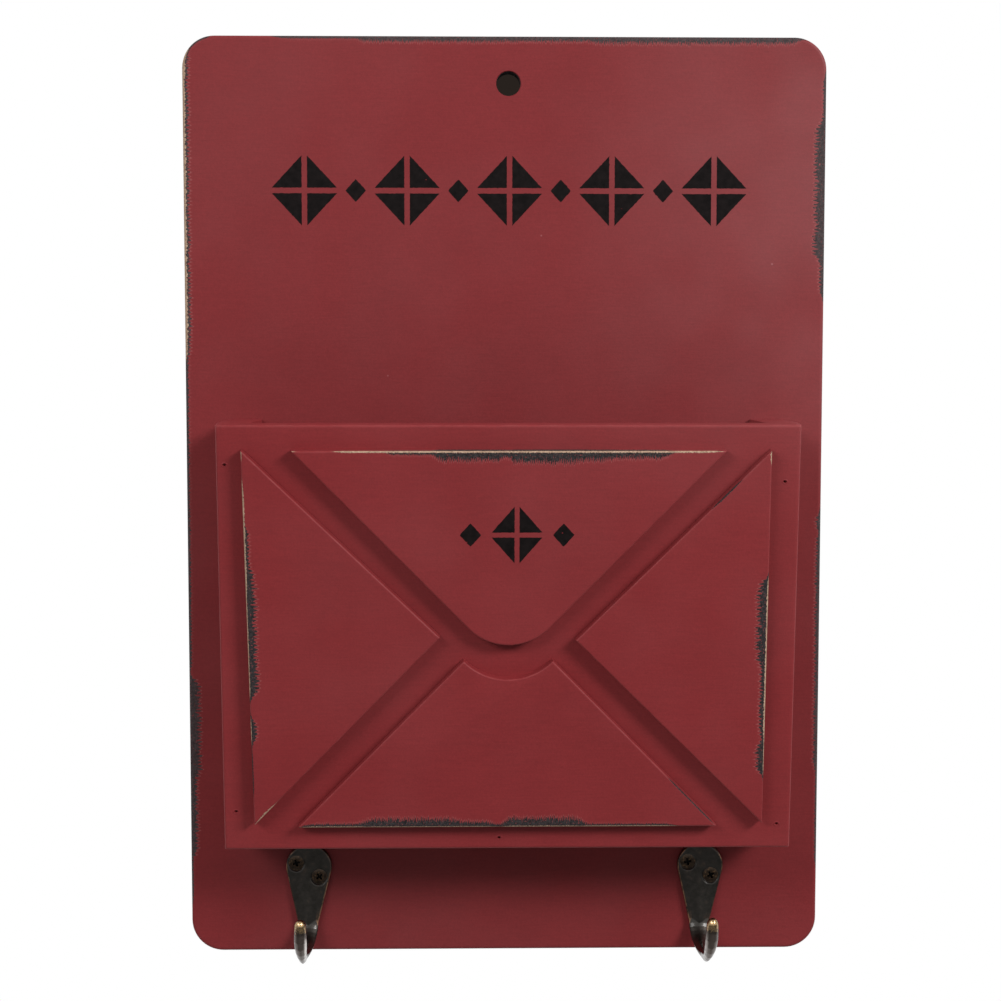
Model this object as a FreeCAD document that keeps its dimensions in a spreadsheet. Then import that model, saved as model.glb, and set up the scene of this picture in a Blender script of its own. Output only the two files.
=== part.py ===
import FreeCAD, Part
import math
import os
import Sketcher

# Wall organizer: a painted fibreboard back with a letter pocket that looks like a closed
# envelope, and two cast hooks below it. All sizes are in millimetres.
# The origin is the centre of the board's back face, which lies on the wall.
# +Z is up, +X is to the right as the reader faces the front, and the front looks along -Y.

SIZES = {
    # back board, 9 mm fibreboard
    "board_width": 254.0,
    "board_height": 366.5,
    "board_thick": 9.0,
    "board_corner": 12.7,
    "board_easing": 1.2,
    # hanging hole, drilled a little right of the middle line
    "hang_radius": 4.75,
    "hang_from_top": 18.4,
    "hang_shift": 1.2,
    # pocket: wedge sides, floor and sloping front panel; its margin is from the board's sides
    "pocket_margin": 17.25,
    "pocket_height": 165.3,
    "pocket_base": 50.7,
    "pocket_shift": 0.5,
    "side_thick": 12.5,
    "side_depth_top": 42.0,
    "side_depth_foot": 26.0,
    "floor_thick": 9.0,
    "panel_thick": 6.0,
    "panel_easing": 1.0,
    # envelope flaps, glued on the panel; margins are from the panel's edges, and the lanes
    # are the level gaps between the corners of the side flaps and of the other two
    "flap_thick": 4.5,
    "flap_easing": 0.6,
    "side_flap_base": 11.3,
    "side_flap_head": 9.0,
    "side_flap_from_middle": 25.75,
    "left_flap_margin": 11.0,
    "left_flap_turn": 0.9,
    "right_flap_margin": 11.6,
    "top_flap_margin": 9.3,
    "top_flap_lane": 17.05,
    "top_flap_nose": 21.5,
    "top_flap_dip": 0.65,
    "foot_flap_margin": 10.4,
    "foot_flap_lane": 17.75,
    "foot_flap_gap": 13.4,
    "foot_flap_throat": 33.8,
    "foot_flap_hollow": 23.4,
    "foot_flap_shift": -0.15,
    # cast hooks, in from the board's sides; heights are measured up from the board's foot
    "hook_inset": 47.7,
    "plate_thick": 2.2,
    "plate_easing": 0.5,
    "plate_head_radius": 9.2,
    "plate_head_height": 35.0,
    "plate_tail_radius": 4.0,
    "plate_tail_height": 12.0,
    "rib_top": 41.0,
    "rib_half_width": 0.6,
    "rib_proud": 0.25,
    "heel_height": 13.0,
    "heel_depth": 2.3,
    "heel_half_width": 4.3,
    "heel_half_thick": 1.4,
    "sole_height": 3.2,
    "sole_depth": 17.5,
    "sole_half_width": 2.6,
    "sole_half_thick": 2.1,
    "prong_swell": 0.5,
    "tip_height": 20.8,
    "tip_depth": 36.0,
    "tip_radius": 2.4,
    "tip_crown": 2.7,
    # hook screws, flat countersunk heads with a cross recess, sunk a little below the plate
    "screw_left": 5.1,
    "screw_high": 36.5,
    "screw_right": 4.3,
    "screw_low": 31.1,
    "screw_head": 3.2,
    "screw_sink": 1.5,
    "screw_below": 0.2,
    "screw_shank": 1.3,
    "screw_length": 9.5,
    "screw_point": 2.5,
    "cross_span": 3.4,
    "cross_width": 0.9,
    "cross_deep": 1.1,
    # brads, flat wire with a wider head, driven below the face
    "brad_head_width": 1.9,
    "brad_head_thick": 0.6,
    "brad_width": 1.25,
    "brad_thick": 1.0,
    "brad_length": 25.0,
    "brad_point": 1.5,
    "brad_below": 0.8,
    # brads from behind the board: in from the ends of each side, out from the floor's middle
    "back_brad_inset": 25.0,
    "back_brad_reach": 50.0,
    # brads through the front panel, in from its sides and down or up from its ends
    "brad_upper_left_inset": 3.25,
    "brad_upper_left_down": 15.1,
    "brad_upper_right_inset": 5.75,
    "brad_upper_right_down": 21.6,
    "brad_lower_left_inset": 4.75,
    "brad_lower_left_up": 15.5,
    "brad_lower_right_inset": 5.25,
    "brad_lower_right_up": 9.7,
    "brad_floor_shift": -3.4,
    # play round a driven shank or wire
    "shank_play": 0.05,
}

doc = FreeCAD.newDocument("organizer")
sheet = doc.addObject("Spreadsheet::Sheet", "sizes")
for row, (alias, value) in enumerate(SIZES.items(), 1):
    sheet.set("A%d" % row, alias.replace("_", " "))
    sheet.set("B%d" % row, str(value))
    sheet.setAlias("B%d" % row, alias)
doc.recompute()

# Formulas that several pieces share
POCKET_WIDTH = "(sizes.board_width - 2 * sizes.pocket_margin)"
BOARD_FOOT = "(-sizes.board_height / 2)"
BOARD_FRONT = "(-sizes.board_thick)"
POCKET_FOOT = "(sizes.pocket_base - sizes.board_height / 2)"
POCKET_TOP = "(%s + sizes.pocket_height)" % POCKET_FOOT
TILT = "atan((sizes.side_depth_top - sizes.side_depth_foot) / sizes.pocket_height)"
PANEL_LENGTH = "(sizes.pocket_height / cos(%s))" % TILT
FLOOR_LENGTH = "(%s - 2 * sizes.side_thick)" % POCKET_WIDTH

nodes = []


def size(formula):
    found = sheet.evalExpression(formula)
    return float(getattr(found, "Value", found))


def bind(item, **formulas):
    for field, formula in formulas.items():
        item.setExpression(field.replace("__", "."), formula)


def place(item, x, y, z, turn="0"):
    # turn is about the X axis, in degrees
    item.Placement = FreeCAD.Placement(FreeCAD.Vector(), FreeCAD.Rotation(FreeCAD.Vector(1, 0, 0), 1))
    bind(item, Placement__Base__x=x, Placement__Base__y=y, Placement__Base__z=z)
    bind(item, Placement__Rotation__Angle=turn)


def on_panel(across, up, out):
    # A point given in the sloping panel's own directions; out is from its back face
    y = "-sizes.board_thick - sizes.side_depth_foot - (%s) * sin(%s) - (%s) * cos(%s)"
    z = "%s + (%s) * cos(%s) - (%s) * sin(%s)"
    return (
        "sizes.pocket_shift + (%s)" % across,
        y % (up, TILT, out, TILT),
        z % (POCKET_FOOT, up, TILT, out, TILT),
    )


PANEL_TURN = "90 + %s / 1 deg" % TILT


def new_body(name):
    return doc.addObject("PartDesign::Body", name)


def new_sketch(body, name, plane, lift="0"):
    sketch = body.newObject("Sketcher::SketchObject", name)
    origin_plane = [f for f in body.Origin.OriginFeatures if f.Role == plane][0]
    sketch.AttachmentSupport = [(origin_plane, "")]
    sketch.MapMode = "FlatFace"
    bind(sketch, AttachmentOffset__Base__z=lift)
    return sketch


def pin_point(sketch, item, end, x, y):
    # Holds one point of a sketch at the formulas x and y
    for kind, formula, axis in (("DistanceX", x, -2), ("DistanceY", y, -1)):
        if formula == "0":
            sketch.addConstraint(Sketcher.Constraint("PointOnObject", item, end, axis))
            continue
        index = sketch.addConstraint(Sketcher.Constraint(kind, -1, 1, item, end, size(formula)))
        sketch.setExpression("Constraints[%d]" % index, formula)


def add_lines(sketch, corners, closed=True):
    # Straight lines from corner to corner; each corner is a pair of formulas
    spots = [FreeCAD.Vector(size(x), size(y), 0) for x, y in corners]
    first = sketch.GeometryCount
    count = len(corners) if closed else len(corners) - 1
    for i in range(count):
        sketch.addGeometry(Part.LineSegment(spots[i], spots[(i + 1) % len(spots)]))
    for i in range(count):
        pin_point(sketch, first + i, 1, *corners[i])
        if closed or i + 1 < count:
            joint = Sketcher.Constraint("Coincident", first + i, 2, first + (i + 1) % count, 1)
            sketch.addConstraint(joint)
    if not closed:
        pin_point(sketch, first + count - 1, 2, *corners[-1])
    return first


def add_circle(sketch, x, y, radius):
    centre = FreeCAD.Vector(size(x), size(y), 0)
    item = sketch.addGeometry(Part.Circle(centre, FreeCAD.Vector(0, 0, 1), size(radius)))
    pin_point(sketch, item, 3, x, y)
    index = sketch.addConstraint(Sketcher.Constraint("Radius", item, size(radius)))
    sketch.setExpression("Constraints[%d]" % index, radius)
    return item


def add_arc(sketch, x, y, radius, start, end):
    # start and end are first guesses in degrees; the lines that meet the arc settle them
    circle = Part.Circle(FreeCAD.Vector(size(x), size(y), 0), FreeCAD.Vector(0, 0, 1), size(radius))
    item = sketch.addGeometry(Part.ArcOfCircle(circle, math.radians(start), math.radians(end)))
    pin_point(sketch, item, 3, x, y)
    index = sketch.addConstraint(Sketcher.Constraint("Radius", item, size(radius)))
    sketch.setExpression("Constraints[%d]" % index, radius)
    return item


def add_feature(body, kind, sketch, name, **formulas):
    feature = body.newObject("PartDesign::" + kind, name)
    feature.Profile = (sketch, [""])
    bind(feature, **formulas)
    doc.recompute()
    return feature


def ease(body, name, base, kind, width, picked):
    # Rounds or bevels the edges of base for which picked(edge) is true
    edges = ["Edge%d" % n for n, edge in enumerate(base.Shape.Edges, 1) if picked(edge)]
    feature = body.newObject("PartDesign::" + kind, name)
    feature.Base = (base, edges)
    bind(feature, **{"Radius" if kind == "Fillet" else "Size": width})
    doc.recompute()
    return feature


def lies_at(edge, axis, level):
    # True where the whole edge lies at one level along the axis
    low = getattr(edge.BoundBox, axis + "Min")
    high = getattr(edge.BoundBox, axis + "Max")
    return abs(low - level) < 0.001 and abs(high - level) < 0.001


def set_back(cutter, spot, depth, turn):
    # Places a cutter whose mouth is at spot and which runs back by depth along its own -Z
    x, y, z = spot
    y = "(%s) + (%s) * sin(%s)" % (y, depth, turn)
    z = "(%s) - (%s) * cos(%s)" % (z, depth, turn)
    place(cutter, x, y, z, turn)
    return cutter


def add_drill(name, radius, depth, spot, turn):
    drill = doc.addObject("Part::Cylinder", name)
    bind(drill, Radius=radius, Height=depth)
    return set_back(drill, spot, depth, turn)


def add_sink(name, wide, narrow, depth, spot, turn):
    sink = doc.addObject("Part::Cone", name)
    bind(sink, Radius1=narrow, Radius2=wide, Height=depth)
    return set_back(sink, spot, depth, turn)


def add_slot(name, width, thick, depth, spot, turn):
    # A slot's cross-section is a box whose corner is its own origin, so it is set off by half
    slot = doc.addObject("Part::Box", name)
    bind(slot, Length=width, Width=thick, Height=depth)
    x, y, z = spot
    half = "(%s) / 2" % thick
    x = "(%s) - (%s) / 2" % (x, width)
    y = "(%s) - %s * cos(%s)" % (y, half, turn)
    z = "(%s) - %s * sin(%s)" % (z, half, turn)
    return set_back(slot, (x, y, z), depth, turn)


def cut(name, blank, cutters):
    tools = doc.addObject("Part::MultiFuse", name + "_cutters")
    tools.Shapes = cutters
    piece = doc.addObject("Part::Cut", name)
    piece.Base = blank
    piece.Tool = tools
    doc.recompute()
    return piece


def keep(piece, label):
    piece.Label = label
    nodes.append(piece)


# The turn about X that makes a fastener's head face the front, or the wall
FACE_FRONT = "90"
FACE_BACK = "-90"

# Where the hook screws go: name, point on the plate's face, and the hook
hook_screws = []
for side, sign in (("left", "-"), ("right", "")):
    middle = "%s(sizes.board_width / 2 - sizes.hook_inset)" % sign
    face = "%s - sizes.plate_thick" % BOARD_FRONT
    upper = ("%s - sizes.screw_left" % middle, face, "%s + sizes.screw_high" % BOARD_FOOT)
    lower = ("%s + sizes.screw_right" % middle, face, "%s + sizes.screw_low" % BOARD_FOOT)
    hook_screws.append(("hook_screw_%s_upper" % side, upper, side))
    hook_screws.append(("hook_screw_%s_lower" % side, lower, side))

# Where the brads go: name, point where each was driven in, its turn, and the piece it ends in
panel_side = "%s / 2" % POCKET_WIDTH
front_brads = []
for name, across, up, home in (
    ("upper_left", "sizes.%s_inset - " + panel_side, PANEL_LENGTH + " - sizes.%s_down", "side_left"),
    ("upper_right", panel_side + " - sizes.%s_inset", PANEL_LENGTH + " - sizes.%s_down", "side_right"),
    ("lower_left", "sizes.%s_inset - " + panel_side, "sizes.%s_up", "side_left"),
    ("lower_right", panel_side + " - sizes.%s_inset", "sizes.%s_up", "side_right"),
):
    name = "brad_" + name
    spot = on_panel(across % name, up % name, "sizes.panel_thick")
    front_brads.append((name, spot, PANEL_TURN, home))
spot = on_panel("sizes.brad_floor_shift", "sizes.floor_thick / 2", "sizes.panel_thick")
front_brads.append(("brad_floor", spot, PANEL_TURN, "floor"))

back_brads = []
side_line = "(%s - sizes.side_thick) / 2" % POCKET_WIDTH
for side, sign in (("left", "-"), ("right", "+")):
    for word, height in (
        ("upper", "%s - sizes.back_brad_inset" % POCKET_TOP),
        ("lower", "%s + sizes.back_brad_inset" % POCKET_FOOT),
    ):
        spot = ("sizes.pocket_shift %s %s" % (sign, side_line), "0", height)
        back_brads.append(("back_brad_%s_%s" % (side, word), spot, FACE_BACK, "side_" + side))
    spot = (
        "sizes.pocket_shift %s sizes.back_brad_reach" % sign,
        "0",
        "%s + sizes.floor_thick / 2" % POCKET_FOOT,
    )
    back_brads.append(("back_brad_floor_" + side, spot, FACE_BACK, "floor"))


def brad_slots(brads, suffix):
    # The mouth that each head is driven down, and the slot that its wire fills
    slots = []
    for name, spot, turn, home in brads:
        slots.append(add_slot(
            name + "_mouth_" + suffix,
            "sizes.brad_head_width + 2 * sizes.shank_play",
            "sizes.brad_thick + 2 * sizes.shank_play",
            "sizes.brad_below + sizes.brad_head_thick",
            spot, turn,
        ))
        slots.append(add_slot(
            name + "_slot_" + suffix,
            "sizes.brad_width + 2 * sizes.shank_play",
            "sizes.brad_thick + 2 * sizes.shank_play",
            "sizes.brad_below + sizes.brad_length + sizes.shank_play",
            spot, turn,
        ))
    return slots


# Back board: one piece of fibreboard with rounded corners, its front arris eased
board_body = new_body("board_blank")
board_sketch = new_sketch(board_body, "board_outline", "XZ_Plane")
half_width = "sizes.board_width / 2"
half_height = "sizes.board_height / 2"
add_lines(board_sketch, [
    ("-" + half_width, "-" + half_height),
    (half_width, "-" + half_height),
    (half_width, half_height),
    ("-" + half_width, half_height),
])
hang_height = "sizes.board_height / 2 - sizes.hang_from_top"
add_circle(board_sketch, "sizes.hang_shift", hang_height, "sizes.hang_radius")
board_pad = add_feature(board_body, "Pad", board_sketch, "board_slab", Length="sizes.board_thick")
board_corners = ease(
    board_body, "board_corners", board_pad, "Fillet", "sizes.board_corner",
    lambda edge: edge.BoundBox.XLength < 0.001 and edge.BoundBox.ZLength < 0.001,
)
front_level = size(BOARD_FRONT)
ease(
    board_body, "board_easing", board_corners, "Chamfer", "sizes.board_easing",
    lambda edge: lies_at(edge, "Y", front_level) and not edge.Closed,
)
board_cutters = brad_slots(back_brads, "board")
for name, spot, side in hook_screws:
    depth = "sizes.screw_length + sizes.screw_below + sizes.shank_play"
    board_cutters.append(add_drill(
        name + "_pilot", "sizes.screw_shank + sizes.shank_play", depth, spot, FACE_FRONT,
    ))
keep(cut("board_drilled", board_body, board_cutters), "back_board")


def slots_into(home):
    # The slots of every brad that ends in one piece of the pocket
    owned = [brad for brad in front_brads + back_brads if brad[3] == home]
    return brad_slots(owned, home)


# Pocket sides: wedges that are deeper at the top, nailed from behind
for side, start in (
    ("left", "sizes.pocket_shift - %s" % panel_side),
    ("right", "sizes.pocket_shift + %s - sizes.side_thick" % panel_side),
):
    side_body = new_body("side_%s_blank" % side)
    side_sketch = new_sketch(side_body, "side_%s_outline" % side, "YZ_Plane", start)
    add_lines(side_sketch, [
        (BOARD_FRONT, POCKET_FOOT),
        ("%s - sizes.side_depth_foot" % BOARD_FRONT, POCKET_FOOT),
        ("%s - sizes.side_depth_top" % BOARD_FRONT, POCKET_TOP),
        (BOARD_FRONT, POCKET_TOP),
    ])
    add_feature(side_body, "Pad", side_sketch, "side_%s_slab" % side, Length="sizes.side_thick")
    keep(cut("side_%s_nailed" % side, side_body, slots_into("side_" + side)), "pocket_side_" + side)

# Pocket floor: fits between the sides, its front edge bevelled to the panel's slope
floor_body = new_body("floor_blank")
floor_start = "sizes.pocket_shift - %s / 2" % FLOOR_LENGTH
floor_sketch = new_sketch(floor_body, "floor_outline", "YZ_Plane", floor_start)
floor_rise = "%s + sizes.floor_thick" % POCKET_FOOT
add_lines(floor_sketch, [
    (BOARD_FRONT, POCKET_FOOT),
    ("%s - sizes.side_depth_foot" % BOARD_FRONT, POCKET_FOOT),
    ("%s - sizes.side_depth_foot - sizes.floor_thick * tan(%s)" % (BOARD_FRONT, TILT), floor_rise),
    (BOARD_FRONT, floor_rise),
])
add_feature(floor_body, "Pad", floor_sketch, "floor_slab", Length=FLOOR_LENGTH)
keep(cut("floor_nailed", floor_body, slots_into("floor")), "pocket_floor")

# Front panel: leans out at the top, covers the front edges of the sides and floor
panel_body = new_body("panel_blank")
panel_sketch = new_sketch(panel_body, "panel_outline", "XY_Plane")
add_lines(panel_sketch, [
    ("-" + panel_side, "0"),
    (panel_side, "0"),
    (panel_side, PANEL_LENGTH),
    ("-" + panel_side, PANEL_LENGTH),
])
panel_pad = add_feature(panel_body, "Pad", panel_sketch, "panel_slab", Length="sizes.panel_thick")
panel_level = size("sizes.panel_thick")
ease(
    panel_body, "panel_easing", panel_pad, "Chamfer", "sizes.panel_easing",
    lambda edge: lies_at(edge, "Z", panel_level),
)
place(panel_body, *on_panel("0", "0", "0"), PANEL_TURN)
keep(cut("panel_nailed", panel_body, brad_slots(front_brads, "panel")), "front_panel")


# Flaps: cut from thin board, their front edges bevelled. The side flaps are alike, and
# their outer edges, on average, are where the corners of all four flaps are measured from
FLAP_EDGE = "(%s / 2 - (sizes.left_flap_margin + sizes.right_flap_margin) / 2)" % POCKET_WIDTH
SIDE_REACH = "(%s - sizes.side_flap_from_middle)" % FLAP_EDGE
SIDE_HEIGHT = "(%s - sizes.side_flap_base - sizes.side_flap_head)" % PANEL_LENGTH
TOP_HALF = "(%s - sizes.top_flap_lane)" % FLAP_EDGE
TOP_EDGE = "(%s - sizes.top_flap_margin)" % PANEL_LENGTH
NOSE_TIP = "(%s / 2 - sizes.top_flap_dip)" % PANEL_LENGTH
NOSE_CENTRE = "(%s + sizes.top_flap_nose)" % NOSE_TIP
FOOT_HALF = "(%s - sizes.foot_flap_lane)" % FLAP_EDGE
HOLLOW_CENTRE = "(%s - sizes.foot_flap_gap + sizes.foot_flap_hollow)" % NOSE_TIP
HOLLOW_RISE = "sqrt(sizes.foot_flap_hollow ^ 2 - (sizes.foot_flap_throat / 2) ^ 2)"
THROAT = "(%s - %s)" % (HOLLOW_CENTRE, HOLLOW_RISE)


def make_flap(name, sketch_maker):
    body = new_body(name)
    sketch = new_sketch(body, name + "_outline", "XY_Plane", "sizes.panel_thick")
    sketch_maker(sketch)
    pad = add_feature(body, "Pad", sketch, name + "_slab", Length="sizes.flap_thick")
    level = size("sizes.panel_thick + sizes.flap_thick")
    ease(
        body, name + "_easing", pad, "Chamfer", "sizes.flap_easing",
        lambda edge: lies_at(edge, "Z", level),
    )
    place(body, *on_panel("0", "0", "0"), PANEL_TURN)
    keep(body, name)


def side_flap_left(sketch):
    # Drawn round the middle of its outer edge, then set at its margin and turned a little
    add_lines(sketch, [
        ("0", "-%s / 2" % SIDE_HEIGHT),
        (SIDE_REACH, "0"),
        ("0", "%s / 2" % SIDE_HEIGHT),
    ])
    sketch.AttachmentOffset = FreeCAD.Placement(
        FreeCAD.Vector(0, 0, size("sizes.panel_thick")), FreeCAD.Rotation(FreeCAD.Vector(0, 0, 1), 1),
    )
    bind(sketch, AttachmentOffset__Base__x="sizes.left_flap_margin - " + panel_side)
    bind(sketch, AttachmentOffset__Base__y="sizes.side_flap_base + %s / 2" % SIDE_HEIGHT)
    bind(sketch, AttachmentOffset__Rotation__Angle="sizes.left_flap_turn")


def side_flap_right(sketch):
    edge = panel_side + " - sizes.right_flap_margin"
    add_lines(sketch, [
        (edge, "sizes.side_flap_base"),
        (edge, "sizes.side_flap_base + %s" % SIDE_HEIGHT),
        ("%s - %s" % (edge, SIDE_REACH), "sizes.side_flap_base + %s / 2" % SIDE_HEIGHT),
    ])


def top_flap(sketch):
    # Two slanting edges run smoothly into a rounded nose
    half, edge, centre = size(TOP_HALF), size(TOP_EDGE), size(NOSE_CENTRE)
    slant = math.atan2(edge - centre, half)
    slant += math.asin(size("sizes.top_flap_nose") / math.hypot(edge - centre, half))
    slant = math.degrees(slant)
    nose = add_arc(sketch, "0", NOSE_CENTRE, "sizes.top_flap_nose", 270 - slant, 270 + slant)
    arc = sketch.Geometry[nose]
    top_left = FreeCAD.Vector(-half, edge, 0)
    top_right = FreeCAD.Vector(half, edge, 0)
    top = sketch.addGeometry(Part.LineSegment(top_left, top_right))
    pin_point(sketch, top, 1, "-" + TOP_HALF, TOP_EDGE)
    pin_point(sketch, top, 2, TOP_HALF, TOP_EDGE)
    left = sketch.addGeometry(Part.LineSegment(top_left, arc.StartPoint))
    right = sketch.addGeometry(Part.LineSegment(arc.EndPoint, top_right))
    sketch.addConstraint(Sketcher.Constraint("Coincident", left, 1, top, 1))
    sketch.addConstraint(Sketcher.Constraint("Coincident", right, 2, top, 2))
    sketch.addConstraint(Sketcher.Constraint("Tangent", left, 2, nose, 1))
    sketch.addConstraint(Sketcher.Constraint("Tangent", right, 1, nose, 2))


def foot_flap(sketch):
    # A trapezium whose top is hollowed to follow the top flap's nose
    throat_left = "sizes.foot_flap_shift - sizes.foot_flap_throat / 2"
    throat_right = "sizes.foot_flap_shift + sizes.foot_flap_throat / 2"
    first = add_lines(sketch, [
        (throat_left, THROAT),
        ("sizes.foot_flap_shift - " + FOOT_HALF, "sizes.foot_flap_margin"),
        ("sizes.foot_flap_shift + " + FOOT_HALF, "sizes.foot_flap_margin"),
        (throat_right, THROAT),
    ], closed=False)
    centre = FreeCAD.Vector(size("sizes.foot_flap_shift"), size(HOLLOW_CENTRE), 0)
    radius = size("sizes.foot_flap_hollow")
    spread = math.asin(size("sizes.foot_flap_throat / 2") / radius)
    circle = Part.Circle(centre, FreeCAD.Vector(0, 0, 1), radius)
    lowest = 1.5 * math.pi
    hollow = sketch.addGeometry(Part.ArcOfCircle(circle, lowest - spread, lowest + spread))
    sketch.addConstraint(Sketcher.Constraint("Coincident", hollow, 1, first, 1))
    sketch.addConstraint(Sketcher.Constraint("Coincident", hollow, 2, first + 2, 2))
    index = sketch.addConstraint(Sketcher.Constraint("Radius", hollow, radius))
    sketch.setExpression("Constraints[%d]" % index, "sizes.foot_flap_hollow")


make_flap("flap_left", side_flap_left)
make_flap("flap_right", side_flap_right)
make_flap("flap_top", top_flap)
make_flap("flap_foot", foot_flap)


def hook_slice(name, x, depth, height, half_wide, half_thick, lean):
    # One eight-sided slice of the casting, a corner at each side and a ridge along its face;
    # lean turns it about X from level
    sketch = doc.addObject("Sketcher::SketchObject", name)
    wide, thick = "(%s)" % half_wide, "(%s)" % half_thick
    bevel_wide, bevel_thick = wide + " * cos(45 deg)", thick + " * cos(45 deg)"
    add_lines(sketch, [
        (wide, "0"),
        (bevel_wide, bevel_thick),
        ("0", thick),
        ("-" + bevel_wide, bevel_thick),
        ("-" + wide, "0"),
        ("-" + bevel_wide, "-" + bevel_thick),
        ("0", "-" + thick),
        (bevel_wide, "-" + bevel_thick),
    ])
    place(sketch, x, "%s - (%s)" % (BOARD_FRONT, depth), "%s + %s" % (BOARD_FOOT, height), lean)
    return sketch


def hook_loft(name, slices, straight):
    loft = doc.addObject("Part::Loft", name)
    loft.Sections = slices
    loft.Solid = True
    loft.Ruled = straight
    loft.MaxDegree = 3
    return loft


def hook_rib(side, x):
    # A fine rib down the plate that swells into the heel of the prong
    rib = "sizes.rib_half_width"
    depth = "sizes.plate_thick + sizes.rib_proud - %s" % rib
    middle = "(sizes.rib_top + sizes.heel_height) / 2"
    heel = ("sizes.heel_depth", "sizes.heel_height", "sizes.heel_half_width", "sizes.heel_half_thick")
    return hook_loft("rib_" + side, [
        hook_slice("rib_%s_top" % side, x, depth, "sizes.rib_top", rib, rib, "180"),
        hook_slice("rib_%s_middle" % side, x, depth, middle, "1.5 * " + rib, rib, "180"),
        hook_slice("rib_%s_heel" % side, x, *heel, "180"),
    ], True)


def hook_prong(side, x):
    # From the heel it dips to the sole and climbs to the tip, each a quarter of an ellipse;
    # its front is widest half way up the climb, like a leaf
    slices = []
    back = "(sizes.sole_depth - sizes.heel_depth)"
    drop = "(sizes.heel_height - sizes.sole_height)"
    for degrees in (0, 30, 60):
        gone, left = "sin(%d deg)" % degrees, "cos(%d deg)" % degrees
        slices.append(hook_slice(
            "dip_%s_%d" % (side, degrees), x,
            "sizes.sole_depth - %s * %s" % (back, left),
            "sizes.heel_height - %s * %s" % (drop, gone),
            "sizes.heel_half_width + (sizes.sole_half_width - sizes.heel_half_width) * " + gone,
            "sizes.heel_half_thick + (sizes.sole_half_thick - sizes.heel_half_thick) * " + gone,
            "180 - atan2(%s * %s; %s * %s) / 1 deg" % (back, gone, drop, left),
        ))
    reach = "(sizes.tip_depth - sizes.sole_depth)"
    rise = "(sizes.tip_height - sizes.sole_height)"
    for degrees in (0, 30, 60, 90):
        gone, left = "sin(%d deg)" % degrees, "cos(%d deg)" % degrees
        slices.append(hook_slice(
            "climb_%s_%d" % (side, degrees), x,
            "sizes.sole_depth + %s * %s" % (reach, gone),
            "sizes.tip_height - %s * %s" % (rise, left),
            "sizes.tip_radius + (sizes.sole_half_width - sizes.tip_radius) * %s"
            " + sizes.prong_swell * sin(%d deg)" % (left, 2 * degrees),
            "sizes.tip_radius + (sizes.sole_half_thick - sizes.tip_radius) * " + left,
            "90 - atan2(%s * %s; %s * %s) / 1 deg" % (rise, gone, reach, left),
        ))
    return hook_loft("prong_" + side, slices, False)


def hook_tip(side, x):
    # A blunt rounded end on the prong, a quarter circle in three straight steps
    slices = []
    for degrees in (0, 30, 60, 80):
        radius = "sizes.tip_radius * cos(%d deg)" % degrees
        height = "sizes.tip_height + sizes.tip_crown * sin(%d deg)" % degrees
        name = "tip_%s_%d" % (side, degrees)
        slices.append(hook_slice(name, x, "sizes.tip_depth", height, radius, radius, "0"))
    return hook_loft("tip_" + side, slices, True)


def make_hook(side, sign):
    # Cast in one: a teardrop plate with two countersunk holes, a rib and the prong
    x = "%s(sizes.board_width / 2 - sizes.hook_inset)" % sign
    body = new_body("plate_" + side)
    sketch = new_sketch(body, "plate_%s_outline" % side, "XZ_Plane", "sizes.board_thick")
    head_z = "%s + sizes.plate_head_height" % BOARD_FOOT
    tail_z = "%s + sizes.plate_tail_height" % BOARD_FOOT
    narrowing = "sizes.plate_head_radius - sizes.plate_tail_radius"
    length = "sizes.plate_head_height - sizes.plate_tail_height"
    taper = math.degrees(math.asin(size(narrowing) / size(length)))
    head = add_arc(sketch, x, head_z, "sizes.plate_head_radius", -taper, 180 + taper)
    tail = add_arc(sketch, x, tail_z, "sizes.plate_tail_radius", 180 + taper, 360 - taper)
    rim = sketch.Geometry
    left = sketch.addGeometry(Part.LineSegment(rim[head].EndPoint, rim[tail].StartPoint))
    right = sketch.addGeometry(Part.LineSegment(rim[tail].EndPoint, rim[head].StartPoint))
    sketch.addConstraint(Sketcher.Constraint("Tangent", left, 1, head, 2))
    sketch.addConstraint(Sketcher.Constraint("Tangent", left, 2, tail, 1))
    sketch.addConstraint(Sketcher.Constraint("Tangent", right, 1, tail, 2))
    sketch.addConstraint(Sketcher.Constraint("Tangent", right, 2, head, 1))
    pad = add_feature(body, "Pad", sketch, "plate_%s_slab" % side, Length="sizes.plate_thick")
    level = size("%s - sizes.plate_thick" % BOARD_FRONT)
    ease(
        body, "plate_%s_easing" % side, pad, "Chamfer", "sizes.plate_easing",
        lambda edge: lies_at(edge, "Y", level),
    )
    casting = doc.addObject("Part::MultiFuse", "casting_" + side)
    casting.Shapes = [body, hook_rib(side, x), hook_prong(side, x), hook_tip(side, x)]

    cutters = []
    flare = "(sizes.screw_head - sizes.screw_shank) / sizes.screw_sink"
    for name, spot, owner in hook_screws:
        if owner != side:
            continue
        radius = "sizes.screw_shank + sizes.shank_play"
        depth = "sizes.plate_thick + sizes.shank_play"
        cutters.append(add_drill(name + "_hole", radius, depth, spot, FACE_FRONT))
        mouth = "sizes.screw_head + sizes.screw_below * %s" % flare
        depth = "sizes.screw_sink + sizes.screw_below"
        cutters.append(add_sink(name + "_seat", mouth, "sizes.screw_shank", depth, spot, FACE_FRONT))
        above = (spot[0], "%s - sizes.heel_depth" % spot[1], spot[2])
        cutters.append(add_drill(name + "_way", mouth, "sizes.heel_depth", above, FACE_FRONT))
    keep(cut("hook_%s_drilled" % side, casting, cutters), "hook_" + side)


make_hook("left", "-")
make_hook("right", "")


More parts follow.
